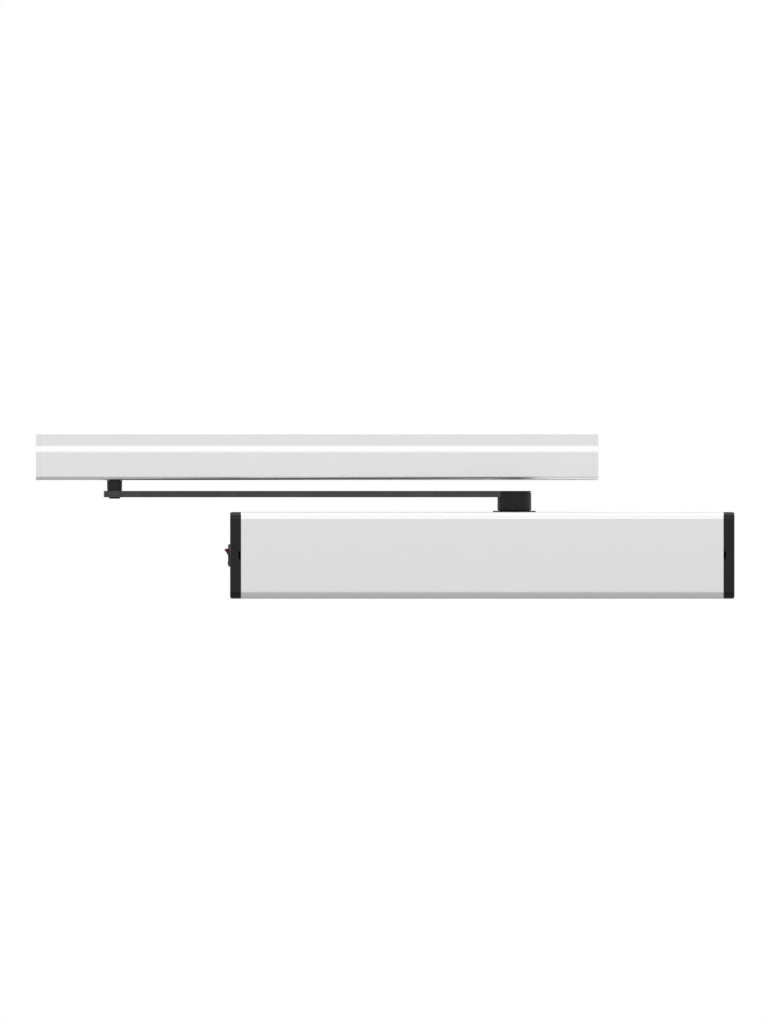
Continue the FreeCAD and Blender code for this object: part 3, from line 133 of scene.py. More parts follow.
class Graph:
    """Node tree of one material, built by plain calls."""

    def __init__(self, name: str) -> None:
        """Start an empty material.

        Args:
            name: The material's name.
        """
        self.material = bpy.data.materials.new(name)
        self.material.use_nodes = True
        self.tree = self.material.node_tree
        self.tree.nodes.clear()

    def add(self, kind: str, settings: dict[str, Any] | None = None,
            inputs: dict[str | int, Any] | None = None) -> bpy.types.Node:
        """Add a node, set it, and then fill its sockets.

        Args:
            kind: The node's type.
            settings: Properties of the node.
            inputs: Values, signals or sockets for the node's inputs.

        Returns:
            The node.
        """
        node = self.tree.nodes.new(kind)
        for key, value in (settings or {}).items():
            setattr(node, key, value)
        for key, value in (inputs or {}).items():
            socket = node.inputs[key]
            if isinstance(value, Signal):
                self.tree.links.new(value.socket, socket)
            elif isinstance(value, bpy.types.NodeSocket):
                self.tree.links.new(value, socket)
            else:
                socket.default_value = value
        return node

    def place(self, stretch: Stretch = EVEN) -> Signal:
        """Object coordinates, stretched along the axes.

        Args:
            stretch: Scale along X, Y and Z.

        Returns:
            The coordinates.
        """
        coordinates = self.add("ShaderNodeTexCoord")
        mapping = self.add("ShaderNodeMapping", {"vector_type": "POINT"},
                           {"Vector": coordinates.outputs["Object"], "Scale": stretch})
        return Signal(self, mapping.outputs[0])

    def noise(self, scale: float, detail: float = 3.0, rough: float = 0.55,
              stretch: Stretch = EVEN) -> Signal:
        """Noise from 0 to 1, about 0.5.

        Args:
            scale: Waves per metre.
            detail: Number of finer layers.
            rough: Strength of the finer layers.
            stretch: Scale along X, Y and Z.

        Returns:
            The noise.
        """
        node = self.add("ShaderNodeTexNoise", {"noise_dimensions": "3D"},
                        {"Vector": self.place(stretch), "Scale": scale, "Detail": detail,
                         "Roughness": rough})
        return Signal(self, node.outputs[0])

    def cells(self, scale: float) -> Signal:
        """Distance to the nearest of many scattered points.

        Args:
            scale: Points per metre.

        Returns:
            The distance.
        """
        node = self.add("ShaderNodeTexVoronoi", {"feature": "F1"},
                        {"Vector": self.place(), "Scale": scale})
        return Signal(self, node.outputs["Distance"])

    def blend(self, share: Signal, first: Colour | Signal, second: Colour | Signal) -> Signal:
        """Mix two colours.

        Args:
            share: 0 for the first, 1 for the second.
            first: Colour or signal.
            second: Colour or signal.

        Returns:
            The mixed colour.
        """
        ends = [c if isinstance(c, Signal) else (*c, 1.0) for c in (first, second)]
        node = self.add("ShaderNodeMix", {"data_type": "RGBA"}, {0: share, 6: ends[0], 7: ends[1]})
        return Signal(self, node.outputs[2])

    def bump(self, height: Signal, depth: float) -> Signal:
        """Bump a surface by a height.

        Args:
            height: The height, from 0 to 1.
            depth: What a height of 1 stands for, in metres.

        Returns:
            The bumped normal.
        """
        inputs = {"Height": height, "Distance": depth, "Strength": 1.0}
        node = self.add("ShaderNodeBump", None, inputs)
        return Signal(self, node.outputs[0])

    def surface(self, inputs: dict[str, Any]) -> bpy.types.Material:
        """End the graph in one Principled shader.

        Args:
            inputs: Values or signals of the shader's sockets.

        Returns:
            The finished material.
        """
        shader = self.add("ShaderNodeBsdfPrincipled", None, inputs)
        self.add("ShaderNodeOutputMaterial", None, {"Surface": shader.outputs[0]})
        return self.material


def lighter(colour: Colour, factor: float) -> Colour:
    """A colour times a factor."""
    return tuple(min(1.0, channel * factor) for channel in colour)


@dataclass(frozen=True)
class SatinAluminium:
    """Natural anodised extrusion: fine lines along its length and a faint matt bloom."""

    name: str = "satin_aluminium"
    tone: Colour = (0.766, 0.766, 0.767)
    roughness: float = 0.36
    line_share: float = 0.01
    line_scale: float = 900.0
    line_stretch: Stretch = (0.012, 1.0, 1.0)
    bloom_scale: float = 9.0
    grain_scale: float = 5200.0
    relief: float = 0.004 * MM

    def make(self) -> bpy.types.Material:
        """Build the material."""
        graph = Graph(self.name)
        lines = graph.noise(self.line_scale, 2.0, 0.6, self.line_stretch)
        bloom = graph.noise(self.bloom_scale, 2.0, 0.5)
        grain = graph.noise(self.grain_scale, 1.0, 0.5)
        shade = graph.blend(lines * 0.7 + bloom * 0.3, lighter(self.tone, 1 - self.line_share),
                            lighter(self.tone, 1 + self.line_share))
        height = lines * 0.6 + grain * 0.4
        return graph.surface({
            "Base Color": shade,
            "Metallic": 1.0,
            "Roughness": self.roughness + (lines - 0.5) * 0.04 + (bloom - 0.5) * 0.03,
            "Normal": graph.bump(height, self.relief),
        })


@dataclass(frozen=True)
class MouldedPlastic:
    """Moulded plastic with a fine spark-eroded grain."""

    name: str
    tone: Colour
    roughness: float = 0.5
    gloss: float = 0.3
    grain_depth: float = 0.012 * MM
    grain_scale: float = 2600.0
    cloud_scale: float = 35.0
    darkest: float = 0.88
    lightest: float = 1.14

    def make(self) -> bpy.types.Material:
        """Build the material."""
        graph = Graph(self.name)
        grain = graph.cells(self.grain_scale)
        cloud = graph.noise(self.cloud_scale, 3.0)
        shade = graph.blend(cloud.above(0.5, 0.5), lighter(self.tone, self.darkest),
                            lighter(self.tone, self.lightest))
        return graph.surface({
            "Base Color": shade,
            "Roughness": self.roughness + (cloud - 0.5) * 0.1,
            "Specular IOR Level": self.gloss,
            "Normal": graph.bump(grain, self.grain_depth),
        })


@dataclass(frozen=True)
class BlackenedSteel:
    """Steel with a dark conversion coating: faint rolling lines and slightly worn patches."""

    name: str
    tone: Colour
    roughness: float = 0.45
    metallic: float = 0.55
    gloss: float = 0.3
    worn: float = 1.35
    line_scale: float = 700.0
    line_stretch: Stretch = (0.03, 1.0, 1.0)
    line_shade: float = 0.8
    patch_scale: float = 60.0
    relief: float = 0.01 * MM

    def make(self) -> bpy.types.Material:
        """Build the material."""
        graph = Graph(self.name)
        lines = graph.noise(self.line_scale, 2.0, 0.6, self.line_stretch)
        patches = graph.noise(self.patch_scale, 4.0, 0.6)
        shade = graph.blend(patches.above(0.58, 0.25), self.tone, lighter(self.tone, self.worn))
        return graph.surface({
            "Base Color": graph.blend(lines * 0.35, shade, lighter(self.tone, self.line_shade)),
            "Metallic": self.metallic,
            "Roughness": self.roughness + (patches - 0.5) * 0.18,
            "Specular IOR Level": self.gloss,
            "Normal": graph.bump(lines * 0.5 + patches * 0.5, self.relief),
        })


@dataclass(frozen=True)
class GlossPlastic:
    """Polished moulding, with a very slight waviness."""

    name: str
    tone: Colour
    roughness: float = 0.18
    gloss: float = 0.4
    wave_scale: float = 160.0
    dust_scale: float = 900.0
    darkest: float = 0.92
    lightest: float = 1.1
    relief: float = 0.02 * MM

    def make(self) -> bpy.types.Material:
        """Build the material."""
        graph = Graph(self.name)
        wave = graph.noise(self.wave_scale, 1.0)
        dust = graph.noise(self.dust_scale, 2.0)
        shade = graph.blend(dust * 0.5, lighter(self.tone, self.darkest),
                            lighter(self.tone, self.lightest))
        return graph.surface({
            "Base Color": shade,
            "Roughness": self.roughness + (dust - 0.5) * 0.12,
            "Specular IOR Level": self.gloss,
            "Normal": graph.bump(wave, self.relief),
        })


@dataclass(frozen=True)
class BareMetal:
    """Machined, plated or drawn metal: lines of the tool and a mottled shade."""

    name: str
    tone: Colour
    roughness: float = 0.34
    mottle: float = 0.12
    line_scale: float = 1200.0
    stretch: Stretch = (0.05, 1.0, 1.0)
    spot_scale: float = 140.0
    relief: float = 0.008 * MM

    def make(self) -> bpy.types.Material:
        """Build the material."""
        graph = Graph(self.name)
        lines = graph.noise(self.line_scale, 2.0, 0.6, self.stretch)
        spots = graph.noise(self.spot_scale, 4.0, 0.65)
        shade = graph.blend(spots, lighter(self.tone, 1 - self.mottle),
                            lighter(self.tone, 1 + self.mottle))
        return graph.surface({
            "Base Color": shade,
            "Metallic": 1.0,
            "Roughness": self.roughness + (spots - 0.5) * 0.15 + (lines - 0.5) * 0.1,
            "Normal": graph.bump(lines, self.relief),
        })


@dataclass(frozen=True)
class SoftRubber:
    """Matt rubber or cable sheath with a dusty bloom."""

    name: str
    tone: Colour
    roughness: float = 0.75
    gloss: float = 0.25
    dust_scale: float = 300.0
    dusty: float = 1.6
    relief: float = 0.02 * MM

    def make(self) -> bpy.types.Material:
        """Build the material."""
        graph = Graph(self.name)
        dust = graph.noise(self.dust_scale, 4.0, 0.6)
        shade = graph.blend(dust.above(0.55, 0.4), self.tone, lighter(self.tone, self.dusty))
        return graph.surface({
            "Base Color": shade,
            "Roughness": self.roughness + (dust - 0.5) * 0.15,
            "Specular IOR Level": self.gloss,
            "Normal": graph.bump(dust, self.relief),
        })


@dataclass(frozen=True)
class WoundWire:
    """Coils of enamelled copper wire, lying side by side, with painted shade darkening the grooves
    between them.
    """

    name: str = "wound_copper"
    tone: Colour = (0.62, 0.24, 0.09)
    wire_width: float = 0.7 * MM
    bands_per_wire: float = 0.3
    # how dark the painted shade in the grooves between the wires is
    painted_groove_shade: float = 0.35
    relief: float = 0.15 * MM

    def make(self) -> bpy.types.Material:
        """Build the material."""
        graph = Graph(self.name)
        wave = graph.add("ShaderNodeTexWave", {"wave_type": "BANDS", "bands_direction": "Z"},
                         {"Vector": graph.place(), "Scale": self.bands_per_wire / self.wire_width,
                          "Distortion": 0.4})
        wires = Signal(graph, wave.outputs["Fac"])
        # painted shade: the copper colour is darkened in the grooves between the wires, where shade
        # falls
        shade = graph.blend(wires, lighter(self.tone, self.painted_groove_shade), self.tone)
        return graph.surface({
            "Base Color": shade,
            "Metallic": 0.85,
            "Roughness": 0.3 + (1 - wires) * 0.25,
            "Normal": graph.bump(wires, self.relief),
        })


@dataclass(frozen=True)
class CircuitBoard:
    """Green solder mask over copper tracks."""

    name: str = "circuit_board"
    tone: Colour = (0.012, 0.11, 0.045)
    track: Colour = (0.02, 0.2, 0.075)
    track_scale: float = 240.0
    track_width: float = 0.03
    flat: Stretch = (1.0, 0.001, 1.0)
    cloud_scale: float = 120.0
    relief: float = 0.04 * MM

    def make(self) -> bpy.types.Material:
        """Build the material."""
        graph = Graph(self.name)
        brick = graph.add("ShaderNodeTexBrick", {"offset": 0.5},
                          {"Vector": graph.place(self.flat), "Scale": self.track_scale,
                           "Mortar Size": self.track_width})
        tracks = Signal(graph, brick.outputs["Fac"])
        cloud = graph.noise(self.cloud_scale)
        shade = graph.blend(tracks * 0.8 + cloud * 0.2, self.tone, self.track)
        return graph.surface({
            "Base Color": shade,
            "Roughness": 0.3 + (cloud - 0.5) * 0.1,
            "Normal": graph.bump(tracks, self.relief),
        })


class Finish(Enum):
    """The finishes of this object, by the material slot that each one dresses."""

    SILVER_COVER = SatinAluminium()
    BLACK_MOULDING = MouldedPlastic("black_moulding", (0.005, 0.005, 0.0055), 0.2, 0.27, 0.003 * MM)
    BLACK_RING = MouldedPlastic("black_ring", (0.004, 0.004, 0.004), 0.6, 0.05)
    ARM_STEEL = BlackenedSteel("arm_steel", (0.061, 0.061, 0.0615))
    HUB_STEEL = BlackenedSteel("hub_steel", (0.0152, 0.0152, 0.0154), 0.42, 0.1, 0.15)
    # painted light: a lighter copy of the hub's blackened steel, lifting the pin out of the shadow
    # under the rail
    PIN_STEEL = BlackenedSteel("pin_steel", (0.03, 0.03, 0.0305), 0.42, 0.1, 0.15)
    SWITCH_BLACK = GlossPlastic("switch_black", (0.008, 0.008, 0.008), 0.3, 0.3)
    SWITCH_RED = GlossPlastic("switch_red", (0.13, 0.002, 0.003), 0.35, 0.03)
    ZINC_STEEL = BareMetal("zinc_steel", (0.6, 0.61, 0.62))
    GEAR_STEEL = BareMetal("gear_steel", (0.42, 0.42, 0.43), 0.3, 0.1, 900.0, (1.0, 1.0, 0.08))
    BRONZE = BareMetal("sintered_bronze", (0.55, 0.33, 0.14), 0.45, 0.2, 600.0, EVEN)
    RUBBER = SoftRubber("black_rubber", (0.02, 0.02, 0.02))
    COPPER = WoundWire()
    BOARD_GREEN = CircuitBoard()
    COMPONENT_BLACK = MouldedPlastic("component_black", (0.02, 0.02, 0.022), 0.4, 0.4)
    HEAT_SINK_BLACK = BareMetal("heat_sink_black", (0.05, 0.05, 0.052), 0.45)
    TERMINAL_GREY = MouldedPlastic("terminal_grey", (0.3, 0.32, 0.33), 0.45, 0.4)
    BLADE_BRASS = BareMetal("blade_brass", (0.7, 0.52, 0.22), 0.28)
    LEAD_SHEATH = SoftRubber("lead_sheath", (0.03, 0.03, 0.032), 0.55)
    SLIDER_PLASTIC = MouldedPlastic("slider_plastic", (0.05, 0.05, 0.052), 0.4, 0.35)
    RAIL_CAP_SILVER = SatinAluminium("rail_cap_silver")
    PLATE_STEEL = BareMetal("galvanised_plate", (0.56, 0.57, 0.58), 0.4, 0.18, 300.0, EVEN)

    @property
    def slot(self) -> str:
        """Name of the material slot in the record."""
        return self.name.lower()


class Wardrobe:
    """Makes each finish's material once and hands it out."""

    def __init__(self) -> None:
        """Start with no materials."""
        self.made: dict[Finish, bpy.types.Material] = {}

    def material(self, finish: Finish) -> bpy.types.Material:
        """Material of a finish, made at its first use."""
        if finish not in self.made:
            self.made[finish] = finish.value.make()
        return self.made[finish]


WARDROBE = Wardrobe()


def arc(centre: tuple[float, float], radius: float, start: float, end: float,
        steps: int) -> list[tuple[float, float]]:
    """Points along a circle.

    Args:
        centre: Centre of the circle.
        radius: Its radius.
        start: First angle in degrees.
        end: Last angle in degrees.
        steps: Number of chords.

    Returns:
        steps + 1 points.
    """
    points = []
    for step in range(steps + 1):
        angle = math.radians(start + (end - start) * step / steps)
        points.append((centre[0] + radius * math.cos(angle), centre[1] + radius * math.sin(angle)))
    return points


class Former:
    """A mesh in the making, shaped by bmesh operators."""

    def __init__(self) -> None:
        """Start empty."""
        self.mesh = bmesh.new()

    def slab(self, outline: list[Vector], run: Vector) -> "Former":
        """Push a closed flat outline along a vector.

        Args:
            outline: Corners of the outline, in order.
            run: How far and where it is pushed.

        Returns:
            This former.
        """
        corners = [self.mesh.verts.new(point) for point in outline]
        face = self.mesh.faces.new(corners)
        pushed = bmesh.ops.extrude_face_region(self.mesh, geom=[face])
        moved = [item for item in pushed["geom"] if isinstance(item, bmesh.types.BMVert)]
        bmesh.ops.translate(self.mesh, verts=moved, vec=run)
        return self

    def turning(self, profile: list[tuple[float, float]], foot: Vector, axis: Vector,
                steps: int = ROUND_STEPS) -> "Former":
        """Spin a profile about an axis.

        Args:
            profile: Radius and height of each point; it starts and ends on the axis, or closes on
                itself.
            foot: Point of the axis at height 0.
            axis: Direction of the axis.
            steps: Number of steps round.

        Returns:
            This former.
        """
        side = axis.orthogonal().normalized()
        points = [self.mesh.verts.new(foot + side * radius + axis * height)
                  for radius, height in profile]
        edges = [self.mesh.edges.new(pair) for pair in zip(points, points[1:])]
        if profile[0][0] > 0.0:
            edges.append(self.mesh.edges.new((points[-1], points[0])))
        bmesh.ops.spin(self.mesh, geom=points + edges, cent=foot, axis=axis, dvec=(0, 0, 0),
                       angle=2 * math.pi, steps=steps, use_merge=True, use_duplicate=False)
        return self

    def block(self, low: Vector, high: Vector) -> "Former":
        """Cuboid between two corners."""
        middle = (low + high) / 2
        size = Matrix.Diagonal((*(high - low), 1.0))
        bmesh.ops.create_cube(self.mesh, size=1.0, matrix=Matrix.Translation(middle) @ size)
        return self

    def rod(self, foot: Vector, axis: Vector, radius: float, length: float,
            steps: int = 48) -> "Former":
        """Cylinder from a foot along an axis."""
        profile = [(0.0, 0.0), (radius, 0.0), (radius, length), (0.0, length)]
        return self.turning(profile, foot, axis, steps)

    def rounded(self, edges: list[bmesh.types.BMEdge], radius: float, segments: int) -> "Former":
        """Round some edges.

        Args:
            edges: The edges.
            radius: Width of the rounding.
            segments: Number of strips across it.

        Returns:
            This former.
        """
        bmesh.ops.bevel(self.mesh, geom=edges, offset=radius, offset_type="OFFSET",
                        segments=segments, profile=0.5, affect="EDGES", material=-1,
                        clamp_overlap=True)
        return self

    def turned(self, angle: float, centre: Vector, axis: Vector) -> "Former":
        """Turn everything about an axis through a point, by an angle in radians."""
        bmesh.ops.rotate(self.mesh, verts=self.mesh.verts[:], cent=centre,
                         matrix=Matrix.Rotation(angle, 3, axis))
        return self

    def closed(self, name: str) -> bpy.types.Object:
        """Close the mesh and make an object of it.

        Args:
            name: The object's name.

        Returns:
            The object, linked to the scene.
        """
        bmesh.ops.remove_doubles(self.mesh, verts=self.mesh.verts[:], dist=WELD)
        bmesh.ops.recalc_face_normals(self.mesh, faces=self.mesh.faces[:])
        data = bpy.data.meshes.new(name)
        self.mesh.to_mesh(data)
        self.mesh.free()
        made = bpy.data.objects.new(name, data)
        bpy.context.scene.collection.objects.link(made)
        return made


def evaluated_copy(piece: bpy.types.Object) -> bpy.types.Mesh:
    """Mesh of a piece with its modifiers applied."""
    depsgraph = bpy.context.evaluated_depsgraph_get()
    depsgraph.update()
    return bpy.data.meshes.new_from_object(piece.evaluated_get(depsgraph))


def combine(piece: bpy.types.Object, operation: str, *tools: Former) -> bpy.types.Object:
    """Combine a piece with tools by exact booleans and throw the tools away.

    Args:
        piece: The piece to change.
        operation: DIFFERENCE, UNION or INTERSECT.
        tools: Closed formers.

    Returns:
        The piece.
    """
    helpers = [tool.closed(piece.name + "_tool") for tool in tools]
    for helper in helpers:
        modifier = piece.modifiers.new("combine", "BOOLEAN")
        modifier.operation = operation
        modifier.solver = "EXACT"
        modifier.object = helper
    mesh = evaluated_copy(piece)
    if not mesh.polygons:
        raise RuntimeError(f"nothing is left of {piece.name}")
    piece.modifiers.clear()
    piece.data = mesh
    for helper in helpers:
        bpy.data.objects.remove(helper)
    return piece


def cut(piece: bpy.types.Object, *tools: Former) -> bpy.types.Object:
    """Cut tools out of a piece."""
    return combine(piece, "DIFFERENCE", *tools)


def smooth_shading(mesh: bpy.types.Mesh, limit: float) -> None:
    """Shade smoothly, with sharp edges where two faces meet at more than a limit in degrees."""
    shaped = bmesh.new()
    shaped.from_mesh(mesh)
    bmesh.ops.remove_doubles(shaped, verts=shaped.verts[:], dist=WELD)
    for face in shaped.faces:
        face.smooth = True
    for edge in shaped.edges:
        angle = math.degrees(edge.calc_face_angle(0.0))
        edge.smooth = len(edge.link_faces) == 2 and angle < limit
    shaped.to_mesh(mesh)
    shaped.free()


def finish_piece(piece: bpy.types.Object, finish: Finish, body: str, stands_for: list[str],
                 edge: float = 0.0, limit: float = 32.0) -> bpy.types.Object:
    """Shade, dress and place a piece in the frame.

    Args:
        piece: The piece.
        finish: What it is dressed in.
        body: The body that it rides on.
        stands_for: The nodes that it replaces.
        edge: Width of the small rounding on its sharp edges, or 0.
        limit: Angle in degrees over which an edge is sharp.

    Returns:
        The piece.
    """
    smooth_shading(piece.data, limit)
    if edge:
        modifier = piece.modifiers.new("edges", "BEVEL")
        modifier.width = edge
        modifier.segments = 3
        modifier.limit_method = "ANGLE"
        modifier.angle_limit = math.radians(limit)
        modifier.harden_normals = True
    weighted = piece.modifiers.new("flats", "WEIGHTED_NORMAL")
    weighted.keep_sharp = True
    piece.data.materials.clear()
    piece.data.materials.append(WARDROBE.material(finish))
    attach(piece, body)
    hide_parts(*stands_for)
    LOG.info("%s rides on %s", piece.name, body)
    return piece


def rim_edges(shape: Former, x: float, back: float) -> list[bmesh.types.BMEdge]:
    """Edges of a slab's end face, without the one on the wall.

    Args:
        shape: The slab.
        x: Where the end face lies.
        back: Y of the wall side.

    Returns:
        The edges.
    """
    found = []
    for edge in shape.mesh.edges:
        on_face = all(abs(vertex.co.x - x) < SAME_PLACE for vertex in edge.verts)
        if on_face and any(vertex.co.y < back - SAME_PLACE for vertex in edge.verts):
            found.append(edge)
    return found


@dataclass(frozen=True)
class PanHead:
    """Low-domed screw with a cross recess."""

    head_radius: float
    head_height: float
    radius: float
    length: float
    cross_length: float
    cross_width: float = 1.0 * MM
    cross_depth: float = 0.9 * MM
    dome: float = 0.32
    dome_steps: int = 6
    point: float = 0.3 * MM
    sides: int = 40

    def add(self, shape: Former, foot: Vector, inward: Vector) -> list[Former]:
        """Add one screw to a former.

        Args:
            shape: The former.
            foot: Middle of the head's face.
            inward: Direction of the shank, along X.

        Returns:
            The cutters of its cross recess.
        """
        profile = [(0.0, 0.0)]
        for step in range(1, self.dome_steps + 1):
            angle = math.radians(90 * step / self.dome_steps)
            profile.append((self.head_radius * math.sin(angle),
                            self.dome * self.head_radius * (1 - math.cos(angle))))
        profile += [(self.head_radius, self.head_height), (self.radius, self.head_height),
                    (self.radius, self.length - self.point),
                    (self.radius - self.point, self.length), (0.0, self.length)]
        shape.turning(profile, foot, inward, self.sides)
        cutters = []
        for wide, high in ((self.cross_width, self.cross_length),
                           (self.cross_length, self.cross_width)):
            reach = Vector((self.cross_depth, wide / 2, high / 2))
            cutters.append(Former().block(foot - reach, foot + reach))
        return cutters


def hexagon(foot: Vector, across_flats: float, height: float) -> Former:
    """Hexagonal prism along Z, as a cutter for a socket.

    Args:
        foot: Centre of its lower face.
        across_flats: Distance between two flats.
        height: Its height.

    Returns:
        The former.
    """
    corner = across_flats / math.sqrt(3)
    points = [foot + Vector((x, y, 0)) for x, y in arc((0.0, 0.0), corner, 0, 300, 5)]
    return Former().slab(points, UP * height)


@dataclass
class Housing:
    """Silver cover, the two black end caps and their screws."""

    body: str = "housing"
    front_radius: float = 7.5 * MM
    wall: float = 2.0 * MM
    cap_wall: float = 3.0 * MM
    cap_back_wall: float = 2.0 * MM
    cap_rim: float = 2.0 * MM
    rim_strips: int = 6
    seam_depth: float = 0.5 * MM
    seam_width: float = 0.5 * MM
    seam_tuck: float = 2.0 * MM
    edge: float = 0.3 * MM
    cap_edge: float = 0.12 * MM
    arc_steps: int = 16
    notch_height: float = 8.2 * MM
    notch_depth: float = 2.4 * MM
    notch_inset: float = 12.0 * MM
    hole_radius: float = 17.0 * MM
    barrel_way: float = 10.02 * MM
    screw_head_radius: float = 3.6 * MM
    screw_head_room: float = 0.2 * MM
    screw_head_height: float = 1.8 * MM
    screw_seat_depth: float = 2.0 * MM
    screw_radius: float = 2.0 * MM
    screw_length: float = 15.8 * MM
    screw_cross: float = 4.8 * MM
    boss_wall: float = 1.5 * MM
    low: Vector = field(default_factory=lambda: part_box("cover")[0])
    high: Vector = field(default_factory=lambda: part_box("cover")[1])

    def outline(self, x: float, inset: float, back: float) -> list[Vector]:
        """Outline of the housing across X, drawn in by a wall.

        Args:
            x: Where the outline lies.
            inset: How far it is drawn in.
            back: Y of its straight back edge.

        Returns:
            Its points, from the lower back corner round the front.
        """
        radius = self.front_radius - inset
        front = self.low.y + inset + radius
        bottom = self.low.z + inset
        top = self.high.z - inset
        points = [(back, bottom)]
        points += arc((front, bottom + radius), radius, 270, 180, self.arc_steps)
        points += arc((front, top - radius), radius, 180, 90, self.arc_steps)
        points.append((back, top))
        return [Vector((x, y, z)) for y, z in points]

    def cover(self) -> bpy.types.Object:
        """Folded cover, open at the back, with the two spindle holes."""
        outer = self.outline(self.low.x, 0.0, self.high.y)
        inner = self.outline(self.low.x, self.wall, self.high.y)
        run = Vector((self.high.x - self.low.x, 0, 0))
        shell = Former().slab(outer + list(reversed(inner)), run).closed("front_cover")
        ring_low, ring_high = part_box("spindle_ring")
        axis = (ring_low + ring_high) / 2
        foot = Vector((axis.x, axis.y, self.low.z - MM))
        height = self.high.z - self.low.z + 2 * MM
        cut(shell, Former().rod(foot, UP, self.hole_radius, height, FINE_STEPS))
        return finish_piece(shell, Finish.SILVER_COVER, self.body, ["cover"], self.edge)

    def cap(self, node: str, side: int) -> bpy.types.Object:
        """One end cap, hollow, with bosses, notch, screw seats and, at the left, the switch hole.

        Args:
            node: The node that it stands for.
            side: -1 at the left end, 1 at the right.

        Returns:
            The piece.
        """
        low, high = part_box(node)
        outer = low.x if side < 0 else high.x
        inner = self.low.x if side < 0 else self.high.x
        outward = Vector((side, 0, 0))
        rim = inner + side * self.seam_width
        shape = Former().slab(self.outline(rim, 0.0, self.high.y), Vector((outer - rim, 0, 0)))
        shape.rounded(rim_edges(shape, outer, self.high.y), self.cap_rim, self.rim_strips)
        cap = shape.closed(node + "_moulding")
        seam = self.outline(inner, self.seam_depth, self.high.y)
        combine(cap, "UNION", Former().slab(seam, outward * self.seam_tuck))
        hollow_end = outer - side * self.cap_wall
        start = inner - side * MM
        hollow = self.outline(start, self.cap_wall, self.high.y - self.cap_back_wall)
        cut(cap, Former().slab(hollow, Vector((hollow_end - start, 0, 0))))
        places = self.screw_places(inner)
        boss_radius = self.screw_head_radius + self.boss_wall
        boss_length = abs(hollow_end - inner) + MM
        combine(cap, "UNION",
                *[Former().rod(foot, outward, boss_radius, boss_length) for foot in places])
        length = abs(outer - inner)
        way = length + 2 * MM
        half = self.notch_height / 2
        notch_end = Vector((inner + side * self.notch_depth, self.low.y + self.notch_inset, half))
        tools = [Former().block(Vector((start, self.low.y - MM, -half)), notch_end)]
        for foot in places:
            seat = foot + outward * (length - self.screw_seat_depth)
            tools.append(Former().rod(foot - outward * MM, outward, self.screw_radius, way))
            tools.append(Former().rod(seat, outward, self.screw_head_radius + self.screw_head_room,
                                      self.screw_seat_depth + MM))
        if side < 0:
            switch_low, switch_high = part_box("switch_body")
            middle = (switch_low + switch_high) / 2
            foot = Vector((inner + MM, middle.y, middle.z))
            tools.append(Former().rod(foot, outward, self.barrel_way, way, ROUND_STEPS))
        cut(cap, *tools)
        return finish_piece(cap, Finish.BLACK_MOULDING, self.body, [node], self.cap_edge)

    def screw_places(self, x: float) -> list[Vector]:
        """Points of the end cap screws' axes at an X place."""
        low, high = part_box("end_cap_screws")
        y = (low.y + high.y) / 2
        radius = (high.y - low.y) / 2
        return [Vector((x, y, low.z + radius)), Vector((x, y, high.z - radius))]

    def screws(self) -> bpy.types.Object:
        """Cross-recessed pan heads of the end cap screws, with their shanks."""
        low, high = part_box("end_cap_screws")
        head = PanHead(self.screw_head_radius, self.screw_head_height, self.screw_radius,
                       self.screw_length, self.screw_cross)
        shape = Former()
        tools = []
        for side, face in ((-1, low.x), (1, high.x)):
            for foot in self.screw_places(face):
                tools += head.add(shape, foot, Vector((-side, 0, 0)))
        screws = shape.closed("end_cap_screw_heads")
        cut(screws, *tools)
        return finish_piece(screws, Finish.ZINC_STEEL, self.body, ["end_cap_screws"])

    def build(self) -> None:
        """Make every piece of the housing."""
        self.cover()
        self.cap("left_end_cap", -1)
        self.cap("right_end_cap", 1)
        self.screws()


